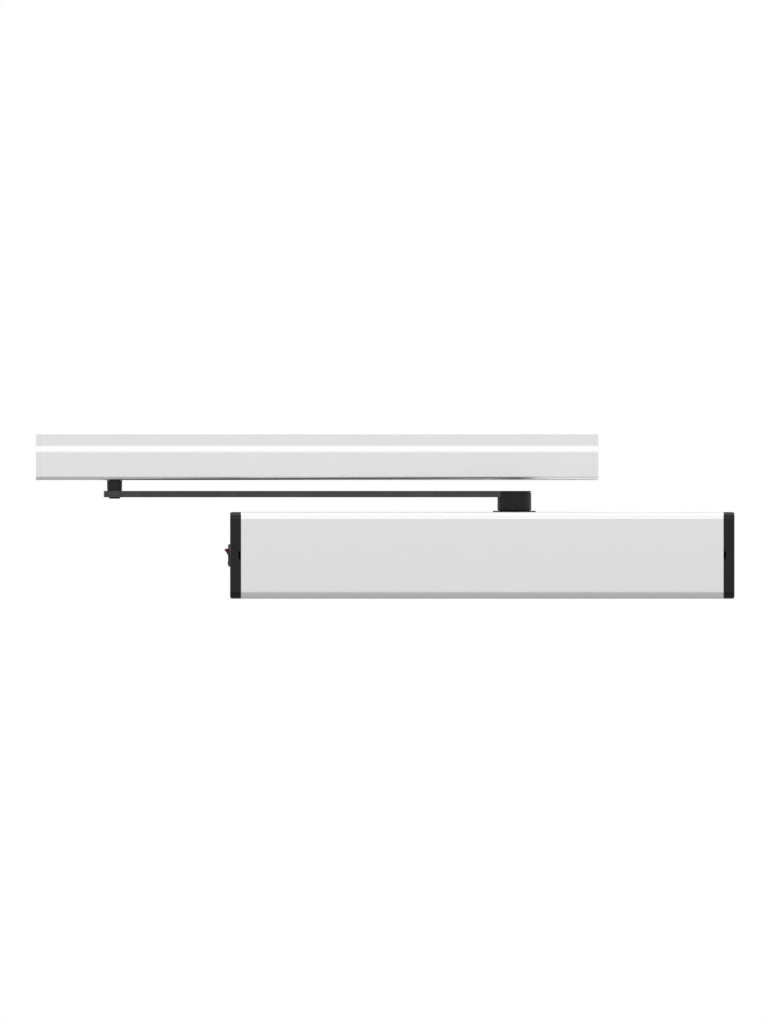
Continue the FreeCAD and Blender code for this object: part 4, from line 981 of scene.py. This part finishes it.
@dataclass
class MainsSwitch:
    """Round rocker switch in the left end cap."""

    bezel_radius: float = 11.65 * MM
    bezel_rounding: float = 0.9 * MM
    rounding_steps: int = 6
    barrel_radius: float = 10.0 * MM
    bezel_thick: float = 2.3 * MM
    well_radius: float = 9.5 * MM
    well_depth: float = 10.5 * MM
    half_width: float = 6.0 * MM
    side_gap: float = 0.3 * MM
    pivot_depth: float = 4.0 * MM
    tip_reach: float = 6.6 * MM
    crest: float = 3.8 * MM
    hollow: float = 0.35 * MM
    half_height: float = 7.9 * MM
    face_steps: int = 8
    back_x: float = -1.0 * MM
    heel_x: float = 4.0 * MM
    heel_half: float = 2.5 * MM
    trim_reach: float = 15.0 * MM
    throw: float = 26.0
    bezel_edge: float = 0.12 * MM
    rocker_edge: float = 0.3 * MM
    rocker_sharp: float = 25.0
    arc_steps: int = 18

    def face(self) -> Vector:
        """Centre of the bezel's face."""
        low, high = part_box("switch_body")
        return Vector((low.x, (low.y + high.y) / 2, (low.z + high.z) / 2))

    def bezel(self) -> bpy.types.Object:
        """Bezel and barrel in one moulding, with the rocker's well."""
        low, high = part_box("switch_body")
        length = high.x - low.x
        middle = (self.bezel_radius - self.bezel_rounding, self.bezel_rounding)
        profile = [(0.0, 0.0)] + arc(middle, self.bezel_rounding, -90, 0, self.rounding_steps)
        profile += [(self.bezel_radius, self.bezel_thick), (self.barrel_radius, self.bezel_thick),
                    (self.barrel_radius, length), (0.0, length)]
        body = Former().turning(profile, self.face(), ALONG, FINE_STEPS).closed("switch_bezel")
        outline = self.well_outline(self.half_width + self.side_gap)
        cut(body, Former().slab(outline, ALONG * (self.well_depth + MM)))
        return finish_piece(body, Finish.SWITCH_BLACK, "housing", ["switch_body"], self.bezel_edge)

    def well_outline(self, half: float) -> list[Vector]:
        """Outline of the well: a circle with two flat sides, just in front of the bezel's face.

        Args:
            half: Half the distance between the flat sides.

        Returns:
            Its points.
        """
        start = math.degrees(math.acos(half / self.well_radius))
        upper = arc((0.0, 0.0), self.well_radius, start, 180 - start, self.arc_steps)
        lower = arc((0.0, 0.0), self.well_radius, 180 + start, 360 - start, self.arc_steps)
        centre = self.face() - ALONG * MM
        return [centre + Vector((0, y, z)) for y, z in upper + lower]

    def rocker(self) -> bpy.types.Object:
        """Rocker with two hollowed faces, tipped with its upper end out."""
        pivot = self.face() + ALONG * self.pivot_depth
        upper = []
        for step in range(self.face_steps + 1):
            share = step / self.face_steps
            hollow = self.hollow * math.sin(math.pi * share)
            x = -self.tip_reach + (self.tip_reach - self.crest) * share + hollow
            upper.append((x, self.half_height * (1 - share)))
        front = upper + [(x, -z) for x, z in reversed(upper[:-1])]
        back = [(self.back_x, -self.half_height), (self.heel_x, -self.heel_half),
                (self.heel_x, self.heel_half), (self.back_x, self.half_height)]
        outline = [pivot + Vector((x, -self.half_width, z)) for x, z in front + back]
        rocker = Former().slab(outline, Vector((0, 2 * self.half_width, 0))).closed("rocker_key")
        keep = Former().rod(pivot - ALONG * self.trim_reach, ALONG, self.half_height,
                            2 * self.trim_reach, FINE_STEPS)
        combine(rocker, "INTERSECT", keep)
        turn = Matrix.Rotation(math.radians(-self.throw / 2), 4, "Y")
        rocker.data.transform(Matrix.Translation(pivot) @ turn @ Matrix.Translation(-pivot))
        return finish_piece(rocker, Finish.SWITCH_RED, "rocker", ["switch_rocker"],
                            self.rocker_edge, self.rocker_sharp)

    def build(self) -> None:
        """Make the switch's pieces."""
        self.bezel()
        self.rocker()


@dataclass
class SpindleTrim:
    """Ring round the spindle on top of the cover, and the flush plug in the lower hole."""

    rounding: float = 0.1 * MM
    rounding_steps: int = 5
    bore: float = 12.3 * MM
    skirt: float = 16.98 * MM
    boss_radius: float = 16.0 * MM
    boss_height: float = 0.5 * MM
    plug_flange: float = 2.0 * MM
    plug_wall: float = 2.0 * MM
    plug_lip_thick: float = 1.0 * MM
    plug_chamfer: float = 0.2 * MM

    def ring(self) -> bpy.types.Object:
        """Ring with a rounded edge, a low boss in the hub's recess and a skirt in the cover."""
        low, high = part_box("spindle_ring")
        radius = (high.x - low.x) / 2
        foot = Vector(((low.x + high.x) / 2, (low.y + high.y) / 2, low.z))
        boss_top = high.z - low.z
        height = boss_top - self.boss_height
        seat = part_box("cover")[1].z - low.z
        profile = [(self.bore, 0.0), (self.skirt, 0.0), (self.skirt, seat), (radius, seat)]
        profile += arc((radius - self.rounding, height - self.rounding), self.rounding, 0, 90,
                       self.rounding_steps)
        profile += [(self.boss_radius, height), (self.boss_radius, boss_top), (self.bore, boss_top)]
        ring = Former().turning(profile, foot, UP, FINE_STEPS).closed("spindle_collar_ring")
        return finish_piece(ring, Finish.BLACK_RING, "housing", ["spindle_ring"])

    def plug(self) -> bpy.types.Object:
        """Plug in the unused lower hole, flush with the cover and held by a lip inside it."""
        low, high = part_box("spindle_hole_plug")
        lip_radius = (high.x - low.x) / 2
        foot = Vector(((low.x + high.x) / 2, (low.y + high.y) / 2, low.z))
        height = high.z - low.z
        lip = self.plug_flange
        lip_top = lip + self.plug_lip_thick
        inner = self.skirt - self.plug_wall
        profile = [(0.0, 0.0), (self.skirt - self.plug_chamfer, 0.0),
                   (self.skirt, self.plug_chamfer), (self.skirt, lip), (lip_radius, lip),
                   (lip_radius, lip_top), (self.skirt, lip_top), (self.skirt, height),
                   (inner, height), (inner, self.plug_wall), (0.0, self.plug_wall)]
        plug = Former().turning(profile, foot, UP, FINE_STEPS).closed("lower_plug")
        return finish_piece(plug, Finish.BLACK_RING, "housing", ["spindle_hole_plug"])

    def build(self) -> None:
        """Make the ring and the plug."""
        self.ring()
        self.plug()


@dataclass
class Arm:
    """Hub, flat bar, cap screw, and the pin with its screw at the far end."""

    body: str = "spindle_and_arm"
    width: float = 22.5 * MM
    bar_edge: float = 0.3 * MM
    eye_steps: int = 32
    pad_width: float = 14.0 * MM
    pad_proud: float = 0.4 * MM
    hub_radius: float = 17.5 * MM
    hub_gap: float = 0.25 * MM
    hub_edge: float = 0.12 * MM
    hub_chamfer: float = 0.6 * MM
    hub_groove_drop: float = 1.1 * MM
    hub_groove_height: float = 0.9 * MM
    hub_groove_depth: float = 0.8 * MM
    hub_recess_radius: float = 16.3 * MM
    hub_foot_chamfer: float = 0.1 * MM
    square_half: float = 5.96 * MM
    slot_gap: float = 0.02 * MM
    spindle_radius: float = 12.0 * MM
    screw_way: float = 4.02 * MM
    screw_radius: float = 4.0 * MM
    head_radius: float = 6.5 * MM
    head_height: float = 4.0 * MM
    head_room: float = 0.2 * MM
    head_flats: float = 5.0 * MM
    head_socket: float = 3.0 * MM
    head_crown: float = 0.5 * MM
    screw_point: float = 0.4 * MM
    screw_edge: float = 0.1 * MM
    collar_radius: float = 7.8 * MM
    collar_flare: float = 1.2 * MM
    collar_gap: float = 0.15 * MM
    collar_groove_depth: float = 0.4 * MM
    collar_groove_rise: float = 0.8 * MM
    collar_groove_height: float = 0.8 * MM
    pin_radius: float = 5.5 * MM
    pin_chamfer: float = 0.2 * MM
    pin_neck: float = 4.7 * MM
    clip_play: float = 0.05 * MM
    pin_way: float = 3.02 * MM
    pin_way_depth: float = 14.0 * MM
    pin_screw_radius: float = 3.0 * MM
    pin_screw_chamfer: float = 0.8 * MM
    pin_screw_flats: float = 3.6 * MM
    pin_screw_socket: float = 0.9 * MM

    def __post_init__(self) -> None:
        """Read the spindle's and the pin's places from the frame."""
        spindle_low, spindle_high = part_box("spindle")
        pin_low, pin_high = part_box("slider_pin")
        bar_low, bar_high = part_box("arm_bar")
        spindle = (spindle_low + spindle_high) / 2
        pin = (pin_low + pin_high) / 2
        self.spindle_top = spindle_high.z
        self.spindle_foot = Vector((spindle.x, spindle.y, 0))
        self.pin_foot = Vector((pin.x, pin.y, 0))
        self.low = bar_low.z
        self.top = bar_high.z
        across = Vector((pin.x - spindle.x, pin.y - spindle.y))
        self.length = across.length
        self.turn = math.atan2(across.y, across.x) - math.pi

    def at(self, along: float, across: float, z: float) -> Vector:
        """Point of the arm drawn along -X from the spindle, before it is turned."""
        return Vector((self.spindle_foot.x - along, self.spindle_foot.y + across, z))

    def turned(self, shape: Former) -> Former:
        """Turn a shape drawn along -X to where the arm points."""
        return shape.turned(self.turn, self.spindle_foot, UP)

    def bar(self) -> bpy.types.Object:
        """Flat bar with a round end, a flat pad on its front edge and its two holes."""
        half = self.width / 2
        eye = arc((self.length, 0.0), half, 90, -90, self.eye_steps)
        outline = [self.at(along, across, self.low)
                   for along, across in [(-half, half)] + eye + [(-half, -half)]]
        shape = Former().slab(outline, UP * (self.top - self.low))
        bar = self.turned(shape).closed("arm_flat_bar")
        reach = self.pad_width / 2
        pad = Former().block(self.at(self.length + reach, -half - self.pad_proud, self.low),
                             self.at(self.length - reach, 0.0, self.top))
        combine(bar, "UNION", self.turned(pad))
        below = UP * (self.low - MM)
        length = self.top - self.low + 2 * MM
        seat = self.spindle_foot + UP * (self.top - self.head_height)
        cut(bar, Former().rod(self.spindle_foot + below, UP, self.screw_way, length),
            Former().rod(seat, UP, self.head_radius + self.head_room, length),
            Former().rod(self.pin_foot + below, UP, self.pin_way, length))
        return finish_piece(bar, Finish.ARM_STEEL, self.body, ["arm_bar"], self.bar_edge)

    def hub(self) -> bpy.types.Object:
        """Round hub with the slot for the bar, a fine groove, its stub and the square under it."""
        low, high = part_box("arm_hub")
        recess_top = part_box("spindle_ring")[1].z + self.hub_gap
        hub_low = recess_top - SpindleTrim.boss_height
        groove_top = high.z - self.hub_groove_drop
        groove_low = groove_top - self.hub_groove_height
        radius = self.hub_radius
        neck = radius - self.hub_groove_depth
        recess = self.hub_recess_radius
        profile = [(0.0, self.spindle_top), (self.spindle_radius, self.spindle_top),
                   (self.spindle_radius, recess_top), (recess, recess_top), (recess, hub_low),
                   (radius - self.hub_foot_chamfer, hub_low),
                   (radius, hub_low + self.hub_foot_chamfer), (radius, groove_low),
                   (neck, groove_low), (neck, groove_top), (radius, groove_top),
                   (radius, high.z - self.hub_chamfer), (radius - self.hub_chamfer, high.z),
                   (0.0, high.z)]
        hub = Former().turning(profile, self.spindle_foot, UP, FINE_STEPS).closed("arm_hub_turning")
        square = Former().block(self.at(self.square_half, -self.square_half, low.z),
                                self.at(-self.square_half, self.square_half, recess_top))
        combine(hub, "UNION", self.turned(square))
        half = self.width / 2 + self.slot_gap
        slot = Former().block(self.at(radius + MM, -half, self.low),
                              self.at(-half, half, high.z + MM))
        way_foot = self.spindle_foot + UP * (low.z - MM)
        way = Former().rod(way_foot, UP, self.screw_way, high.z - low.z + 2 * MM)
        cut(hub, self.turned(slot), way)
        return finish_piece(hub, Finish.HUB_STEEL, self.body, ["arm_hub"], self.hub_edge)

    def cap_screw(self) -> bpy.types.Object:
        """Hexagon-socket screw let into the bar over the spindle."""
        low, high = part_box("arm_screw")
        seat = high.z - self.head_height
        point = self.screw_point
        crown = self.head_crown
        profile = [(0.0, low.z), (self.screw_radius - point, low.z),
                   (self.screw_radius, low.z + point), (self.screw_radius, seat),
                   (self.head_radius, seat), (self.head_radius, high.z - crown),
                   (self.head_radius - crown, high.z), (0.0, high.z)]
        screw = Former().turning(profile, self.spindle_foot, UP).closed("arm_cap_screw")
        socket_foot = self.spindle_foot + UP * (high.z - self.head_socket)
        cut(screw, hexagon(socket_foot, self.head_flats, 2 * self.head_socket))
        return finish_piece(screw, Finish.HUB_STEEL, self.body, ["arm_screw"], self.screw_edge)

    def pin_turning(self) -> bpy.types.Object:
        """Collared pin that carries the slider."""
        low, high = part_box("slider_pin")
        radius = self.collar_radius
        flare = (high.x - low.x) / 2
        collar_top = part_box("rail_cover")[0].z - self.collar_gap
        clip_low, clip_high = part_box("pin_circlip")
        clip_seat = clip_low.z - self.clip_play
        clip_top = clip_high.z + self.clip_play
        groove = radius - self.collar_groove_depth
        groove_low = low.z + self.collar_groove_rise
        groove_high = groove_low + self.collar_groove_height
        hollow_top = low.z + self.pin_way_depth
        profile = [(0.0, hollow_top), (self.pin_way, hollow_top), (self.pin_way, low.z),
                   (radius, low.z), (radius, groove_low), (groove, groove_low),
                   (groove, groove_high), (radius, groove_high),
                   (radius, collar_top - self.collar_flare), (flare, collar_top),
                   (self.pin_radius, collar_top), (self.pin_radius, clip_seat),
                   (self.pin_neck, clip_seat), (self.pin_neck, clip_top),
                   (self.pin_radius, clip_top), (self.pin_radius, high.z - self.pin_chamfer),
                   (self.pin_radius - self.pin_chamfer, high.z), (0.0, high.z)]
        pin = Former().turning(profile, self.pin_foot, UP).closed("slider_pin_turning")
        return finish_piece(pin, Finish.PIN_STEEL, self.body, ["slider_pin"])

    def pin_screw(self) -> bpy.types.Object:
        """Low-headed screw under the bar's far end, with a hexagon socket."""
        low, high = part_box("slider_screw")
        radius = (high.x - low.x) / 2
        chamfer = self.pin_screw_chamfer
        profile = [(0.0, low.z), (radius - chamfer, low.z), (radius, low.z + chamfer),
                   (radius, self.low), (self.pin_screw_radius, self.low),
                   (self.pin_screw_radius, high.z), (0.0, high.z)]
        screw = Former().turning(profile, self.pin_foot, UP).closed("pin_low_screw")
        socket_foot = self.pin_foot + UP * (low.z - MM)
        cut(screw, hexagon(socket_foot, self.pin_screw_flats, MM + self.pin_screw_socket))
        return finish_piece(screw, Finish.HUB_STEEL, self.body, ["slider_screw"], self.screw_edge)

    def build(self) -> None:
        """Make the arm's pieces."""
        self.bar()
        self.hub()
        self.cap_screw()
        self.pin_turning()
        self.pin_screw()


@dataclass
class SlideRail:
    """Snap-on stepped front of the rail, its end caps and their screws."""

    body: str = "rail"
    step_depth: float = 0.9 * MM
    step_low: float = 27.8 * MM
    step_bend: float = 33.0 * MM
    step_high: float = 36.1 * MM
    step_parts: int = 8
    skin: float = 1.6 * MM
    edge: float = 0.15 * MM
    lower_radius: float = 3.8 * MM
    lower_steps: int = 10
    upper_radius: float = 0.4 * MM
    upper_steps: int = 5
    cap_rim: float = 0.8 * MM
    rim_strips: int = 4
    cap_edge: float = 0.12 * MM
    screw_seat: float = 2.6 * MM
    screw_head_radius: float = 3.5 * MM
    screw_head_room: float = 0.2 * MM
    screw_head_height: float = 2.4 * MM
    screw_radius: float = 2.0 * MM
    screw_length: float = 14.4 * MM
    screw_cross: float = 3.8 * MM
    slot_half: float = 6.25 * MM
    lip_overlap: float = 1.0 * MM

    def __post_init__(self) -> None:
        """Read the places of the rail's front and of the pin from the frame."""
        self.low, self.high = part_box("rail_cover")
        pin_low, pin_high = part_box("slider_pin")
        self.lip = (pin_low.y + pin_high.y) / 2 - self.slot_half - self.lip_overlap

    def step(self, inset: float) -> list[tuple[float, float]]:
        """Soft step of the front, as two tangent arcs, from the lower face to the upper one.

        Args:
            inset: How far it is drawn in.

        Returns:
            Its points.
        """
        lower_run = self.step_bend - self.step_low
        upper_run = self.step_high - self.step_bend
        bend = 2 * math.atan(self.step_depth / (lower_run + upper_run))
        convex = lower_run / math.sin(bend)
        concave = upper_run / math.sin(bend)
        degrees = math.degrees(bend)
        lower = arc((self.low.y + convex, self.low.z + self.step_low), convex - inset,
                    180, 180 - degrees, self.step_parts)
        upper = arc((self.low.y + self.step_depth - concave, self.low.z + self.step_high),
                    concave + inset, -degrees, 0, self.step_parts)
        return lower + upper[1:]

    def outline(self, x: float, inset: float, back: float) -> list[Vector]:
        """Stepped front outline, drawn in by a skin.

        Args:
            x: Where the outline lies.
            inset: How far it is drawn in.
            back: Y where the lower edge starts.

        Returns:
            Its points, from the lower back corner round to the upper one.
        """
        front = self.low.y + inset
        upper = front + self.step_depth
        bottom = self.low.z + inset
        top = self.high.z - inset
        low_radius = self.lower_radius - inset
        points = [(back, bottom)]
        points += arc((front + low_radius, bottom + low_radius), low_radius, 270, 180,
                      self.lower_steps)
        points += self.step(inset)
        if inset < self.upper_radius:
            high_radius = self.upper_radius - inset
            points += arc((upper + high_radius, top - high_radius), high_radius, 180, 90,
                          self.upper_steps)
        else:
            points.append((upper, top))
        points.append((self.high.y, top))
        return [Vector((x, y, z)) for y, z in points]

    def front(self) -> bpy.types.Object:
        """Snap-on front."""
        run = Vector((self.high.x - self.low.x, 0, 0))
        outer = self.outline(self.low.x, 0.0, self.lip)
        inner = self.outline(self.low.x, self.skin, self.lip)
        front = Former().slab(outer + list(reversed(inner)), run).closed("rail_front")
        return finish_piece(front, Finish.SILVER_COVER, self.body, ["rail_cover"], self.edge)

    def cap(self, node: str, side: int) -> bpy.types.Object:
        """End cap of the rail, with its screw's hole and seat.

        Args:
            node: The node that it stands for.
            side: -1 at the left end, 1 at the right.

        Returns:
            The piece.
        """
        low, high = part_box(node)
        outer = low.x if side < 0 else high.x
        inner = high.x if side < 0 else low.x
        outward = Vector((side, 0, 0))
        shape = Former().slab(self.outline(inner, 0.0, self.high.y), Vector((outer - inner, 0, 0)))
        shape.rounded(rim_edges(shape, outer, self.high.y), self.cap_rim, self.rim_strips)
        cap = shape.closed(node + "_moulding")
        foot = self.screw_place(inner - side * MM)
        seat = self.screw_place(outer - side * self.screw_seat)
        cut(cap, Former().rod(foot, outward, self.screw_radius, high.x - low.x + 2 * MM),
            Former().rod(seat, outward, self.screw_head_radius + self.screw_head_room,
                         2 * self.screw_seat))
        return finish_piece(cap, Finish.RAIL_CAP_SILVER, self.body, [node], self.cap_edge)

    def screw_place(self, x: float) -> Vector:
        """Point of a rail cap screw's axis at an X place."""
        low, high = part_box("rail_cap_screws")
        return Vector((x, (low.y + high.y) / 2, (low.z + high.z) / 2))

    def screws(self) -> bpy.types.Object:
        """Pan-headed screws through the rail's caps."""
        low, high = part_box("rail_cap_screws")
        head = PanHead(self.screw_head_radius, self.screw_head_height, self.screw_radius,
                       self.screw_length, self.screw_cross)
        shape = Former()
        tools = []
        for side, face in ((-1, low.x), (1, high.x)):
            tools += head.add(shape, self.screw_place(face), Vector((-side, 0, 0)))
        screws = shape.closed("rail_cap_screw_heads")
        cut(screws, *tools)
        return finish_piece(screws, Finish.ZINC_STEEL, self.body, ["rail_cap_screws"])

    def build(self) -> None:
        """Make the rail's pieces."""
        self.front()
        self.cap("rail_left_cap", -1)
        self.cap("rail_right_cap", 1)
        self.screws()


class KeptNodes:
    """The CAD nodes that stay, each dressed in the finish of its record slot."""

    def build(self) -> None:
        """Dress every node."""
        slots = {part["node"]: part["material_slot"] for part in frame["record"]["subparts"]}
        finishes = {finish.slot: finish for finish in Finish}
        for name, node in frame["nodes"].items():
            material = WARDROBE.material(finishes[slots[name]])
            node.data.materials.clear()
            node.data.materials.append(material)
        LOG.info("%d nodes dressed", len(frame["nodes"]))


@dataclass(frozen=True)
class Lamp:
    """Rectangular soft lamp over the object."""

    name: str
    place: tuple[float, float, float]
    aim: tuple[float, float, float]
    size: tuple[float, float]
    power: float

    def hang(self) -> None:
        """Put the lamp into the scene."""
        data = bpy.data.lights.new(self.name, "AREA")
        data.shape = "RECTANGLE"
        data.size, data.size_y = self.size
        data.energy = self.power
        lamp = bpy.data.objects.new(self.name, data)
        lamp.location = self.place
        direction = Vector(self.aim) - Vector(self.place)
        lamp.rotation_euler = direction.to_track_quat("-Z", "Y").to_euler()
        bpy.context.scene.collection.objects.link(lamp)


@dataclass
class Studio:
    """White studio: camera, lamps, world and floor."""

    camera_distance: float = 30.0
    clip_share: float = 2.5
    metres_per_pixel: float = 0.0010343
    image_height: int = 1024
    sensor: float = 36.0
    centre_x: float = -0.1013
    centre_z: float = 0.0447
    floor_z: float = -0.62
    floor_half: float = 5.0
    floor_tone: float = 0.65
    floor_mottle: float = 0.01
    floor_cloud_scale: float = 3.0
    floor_roughness: float = 0.9
    world_fill: float = 0.62
    lamps: tuple[Lamp, ...] = (
        Lamp("overhead_strip", (-0.1, -0.1, 1.6), (-0.1, -0.05, 0.0), (3.0, 0.25), 8.0),
        Lamp("top_softbox", (-0.1, -0.5, 1.7), (-0.1, -0.05, 0.0), (2.6, 1.6), 4.0),
        Lamp("front_softbox", (-0.1, -3.0, 1.1), (-0.1, -0.05, 0.0), (2.6, 0.9), 6.0),
    )

    def camera(self) -> None:
        """Long-lens camera, level with the middle of the photograph."""
        data = bpy.data.cameras.new("camera")
        view_height = self.image_height * self.metres_per_pixel
        data.sensor_width = self.sensor
        data.lens = self.sensor * self.camera_distance / view_height
        data.clip_end = self.clip_share * self.camera_distance
        camera = bpy.data.objects.new("camera", data)
        camera.location = (self.centre_x, -self.camera_distance, self.centre_z)
        camera.rotation_euler = (math.pi / 2, 0, 0)
        bpy.context.scene.collection.objects.link(camera)
        bpy.context.scene.camera = camera

    def world(self) -> None:
        """White to the camera, in reflections and through glass, softer as light."""
        world = bpy.data.worlds.new("studio")
        bpy.context.scene.world = world
        world.use_nodes = True
        tree = world.node_tree
        tree.nodes.clear()
        path = tree.nodes.new("ShaderNodeLightPath")
        white = path.outputs["Is Camera Ray"]
        for ray in ("Is Glossy Ray", "Is Transmission Ray"):
            either = tree.nodes.new("ShaderNodeMath")
            either.operation = "MAXIMUM"
            tree.links.new(white, either.inputs[0])
            tree.links.new(path.outputs[ray], either.inputs[1])
            white = either.outputs[0]
        level = tree.nodes.new("ShaderNodeMapRange")
        level.inputs["To Min"].default_value = self.world_fill
        level.inputs["To Max"].default_value = 1.0
        tree.links.new(white, level.inputs["Value"])
        background = tree.nodes.new("ShaderNodeBackground")
        background.inputs["Color"].default_value = (1, 1, 1, 1)
        tree.links.new(level.outputs[0], background.inputs["Strength"])
        output = tree.nodes.new("ShaderNodeOutputWorld")
        tree.links.new(background.outputs[0], output.inputs["Surface"])

    def floor(self) -> None:
        """Plain floor, below the picture."""
        shape = Former()
        bmesh.ops.create_grid(shape.mesh, x_segments=1, y_segments=1, size=self.floor_half,
                              matrix=Matrix.Translation((0, 0, self.floor_z)))
        floor = shape.closed("floor")
        graph = Graph("studio_floor")
        cloud = graph.noise(self.floor_cloud_scale, 2.0)
        tone = (self.floor_tone,) * 3
        shade = graph.blend(cloud, lighter(tone, 1 - self.floor_mottle),
                            lighter(tone, 1 + self.floor_mottle))
        looks = {"Base Color": shade, "Roughness": self.floor_roughness}
        floor.data.materials.append(graph.surface(looks))

    def build(self) -> None:
        """Set up the studio."""
        bpy.context.scene.view_settings.view_transform = "Standard"
        self.camera()
        self.world()
        self.floor()
        for lamp in self.lamps:
            lamp.hang()


def main() -> None:
    """Build the scene in order."""
    logging.basicConfig(level=logging.INFO, format="%(message)s")
    Studio().build()
    KeptNodes().build()
    Housing().build()
    MainsSwitch().build()
    SpindleTrim().build()
    Arm().build()
    SlideRail().build()


if __name__ == "__main__":
    main()
